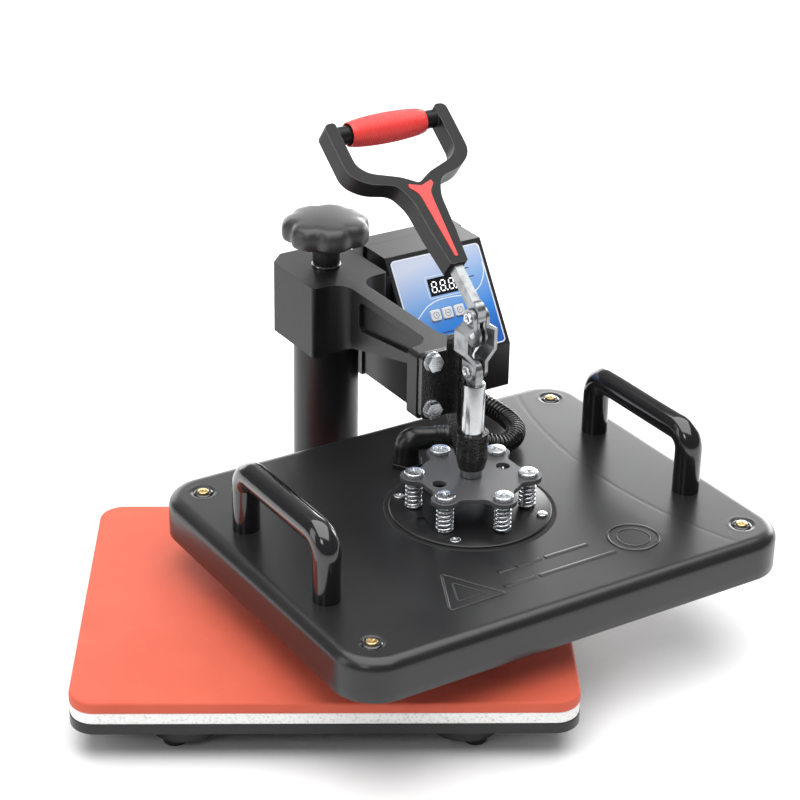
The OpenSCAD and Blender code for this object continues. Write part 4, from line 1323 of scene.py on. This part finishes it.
def make_elbow():
    """Moulded elbow: a round bend from the cover to the conduit, with a ribbed collar."""
    bend = 0.0085
    points, radii = [], []
    for z in (0.004, 0.0055, 0.009, 0.012):
        points.append(ELBOW + Vector((0, 0, COVER_TOP + z)))
        radii.append(0.0112 if z < 0.006 else 0.0105)
    for i in range(13):
        a = rad(90 * i / 12)
        climb = Vector((0, 0, ELBOW_Z - bend + bend * math.sin(a)))
        points.append(ELBOW + climb + ELBOW_WAY * (bend - bend * math.cos(a)))
        radii.append(0.0105 + 0.0006 * math.sin(2 * a) - 0.0007 * i / 12)
    for d, r in ((0.014, 0.0096), (0.0225, 0.0095), (0.0228, 0.0102), (0.0245, 0.0103), (0.0248, 0.0098),
                 (0.0262, 0.0098), (0.0265, 0.0103), (0.0282, 0.0103), (0.0285, 0.0098), (0.0299, 0.0098),
                 (0.0302, 0.0103), (0.0334, 0.0103), (0.034, 0.0099)):
        points.append(ELBOW + Vector((0, 0, ELBOW_Z)) + ELBOW_WAY * d)
        radii.append(r)
    bm = tube(bmesh.new(), points, 0.01, 40, radii=radii)
    elbow = from_bmesh("elbow_body", bm, "fitting_black", ARM, sharp=50)
    stand_for(elbow, ["elbow_connector"])


make_elbow()
soften("elbow_locknut", 0.0006, 2)

CONDUIT = [
    (90, 142, 137), (93, 128, 133), (99, 112, 129), (101, 95, 126.9), (97, 78, 126.4), (86, 65, 126.4),
    (71, 58, 127.8), (57, 59, 131.5), (42, 65.5, 136.3), (26.8, 73.6, 138)
]


def resample(points, step):
    """Points a fixed distance apart along a line."""
    out, left = [points[0]], step
    for a, b in zip(points, points[1:]):
        span = (b - a).length
        while span >= left:
            a = a + (b - a).normalized() * left
            out.append(a)
            span = (b - a).length
            left = step
        left -= span
    return out + [points[-1]] if (out[-1] - points[-1]).length > step * 0.3 else out


def make_conduit():
    """Ribbed flexible conduit from the control box to the elbow."""
    rough = smooth_path([Vector(p) * MM for p in CONDUIT], 24)
    step = 0.00048
    fine = resample(rough, step)
    pitch = 0.0038
    radii = []
    for i in range(len(fine)):
        t = (i * step / pitch) % 1.0
        radii.append(0.0085 - 0.0022 * (0.5 + 0.5 * math.cos(TAU * t)) ** 0.9)
    bm = tube(bmesh.new(), fine, 0.008, 28, radii=radii)
    conduit = from_bmesh("conduit_tube", bm, "conduit_black", ARM, sharp=120)
    path = [ARM @ p for p in fine[::6]]
    if (path[-1] - ARM @ fine[-1]).length > 1e-5:
        path.append(ARM @ fine[-1])
    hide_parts("conduit")
    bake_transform(conduit)


make_conduit()

# ---------------------------------------------------------------- the rest of the frame

for node, obj in frame["nodes"].items():
    if not obj.hide_render:
        obj.data.materials.clear()
        obj.data.materials.append(M[slot_of(node)])

# ---------------------------------------------------------------- stage and light


def make_stage():
    """Pale sweep: floor running up into a backdrop."""
    bm = bmesh.new()
    width = 8.0
    section = [(-6.0, 0.0), (2.2, 0.0)]
    section += [(2.2 + 1.5 * math.sin(rad(a)), 1.5 - 1.5 * math.cos(rad(a))) for a in range(10, 91, 10)]
    section += [(3.7, 6.0)]
    rows = [[bm.verts.new((x, y, z)) for x in (-width, width)] for y, z in section]
    for a, b in zip(rows, rows[1:]):
        bm.faces.new((a[0], a[1], b[1], b[0]))
    n = Nodes("stage_white", (0.93, 0.93, 0.93), 0.75)
    n.colour(n.ramp(n.noise(2.0, 2), [(0.3, (0.925, 0.925, 0.927)), (0.7, (0.94, 0.94, 0.94))]))
    floor = from_bmesh("floor", bm, n.mat, sharp=80)


def area_light(name, place, target, size, power, tone=(1, 1, 1), size_y=None):
    data = bpy.data.lights.new(name, "AREA")
    data.shape = "RECTANGLE"
    data.size = size
    data.size_y = size_y or size
    data.energy = power
    data.color = tone
    light = bpy.data.objects.new(name, data)
    bpy.context.scene.collection.objects.link(light)
    way = Vector(target) - Vector(place)
    light.rotation_mode = "QUATERNION"
    light.rotation_quaternion = way.to_track_quat("-Z", "Y")
    light.location = place
    return light


make_stage()
TARGET = (0, 0, 0.15)
area_light("overhead", (0.0, -0.2, 2.6), (0.0, -0.2, 0), 3.6, 138)
area_light("back_right", (1.45, 2.6, 0.74), (0.3, 0, 0.6), 2.8, 84, size_y=1.3)
area_light("back_left", (-1.3, 2.6, 0.72), (-0.3, 0, 0.6), 2.3, 22, size_y=1.3)
area_light("left", (-2.0, -0.5, 0.9), (0, 0, 0.25), 0.8, 8, size_y=1.5)
area_light("front_left", (-0.9, -1.9, 1.5), TARGET, 0.5, 5)

world = bpy.data.worlds.new("studio")
bpy.context.scene.world = world
world.use_nodes = True
background = world.node_tree.nodes["Background"]
background.inputs["Color"].default_value = (1.0, 1.0, 1.0, 1.0)
background.inputs["Strength"].default_value = 0.14
bpy.context.scene.view_settings.view_transform = "Standard"
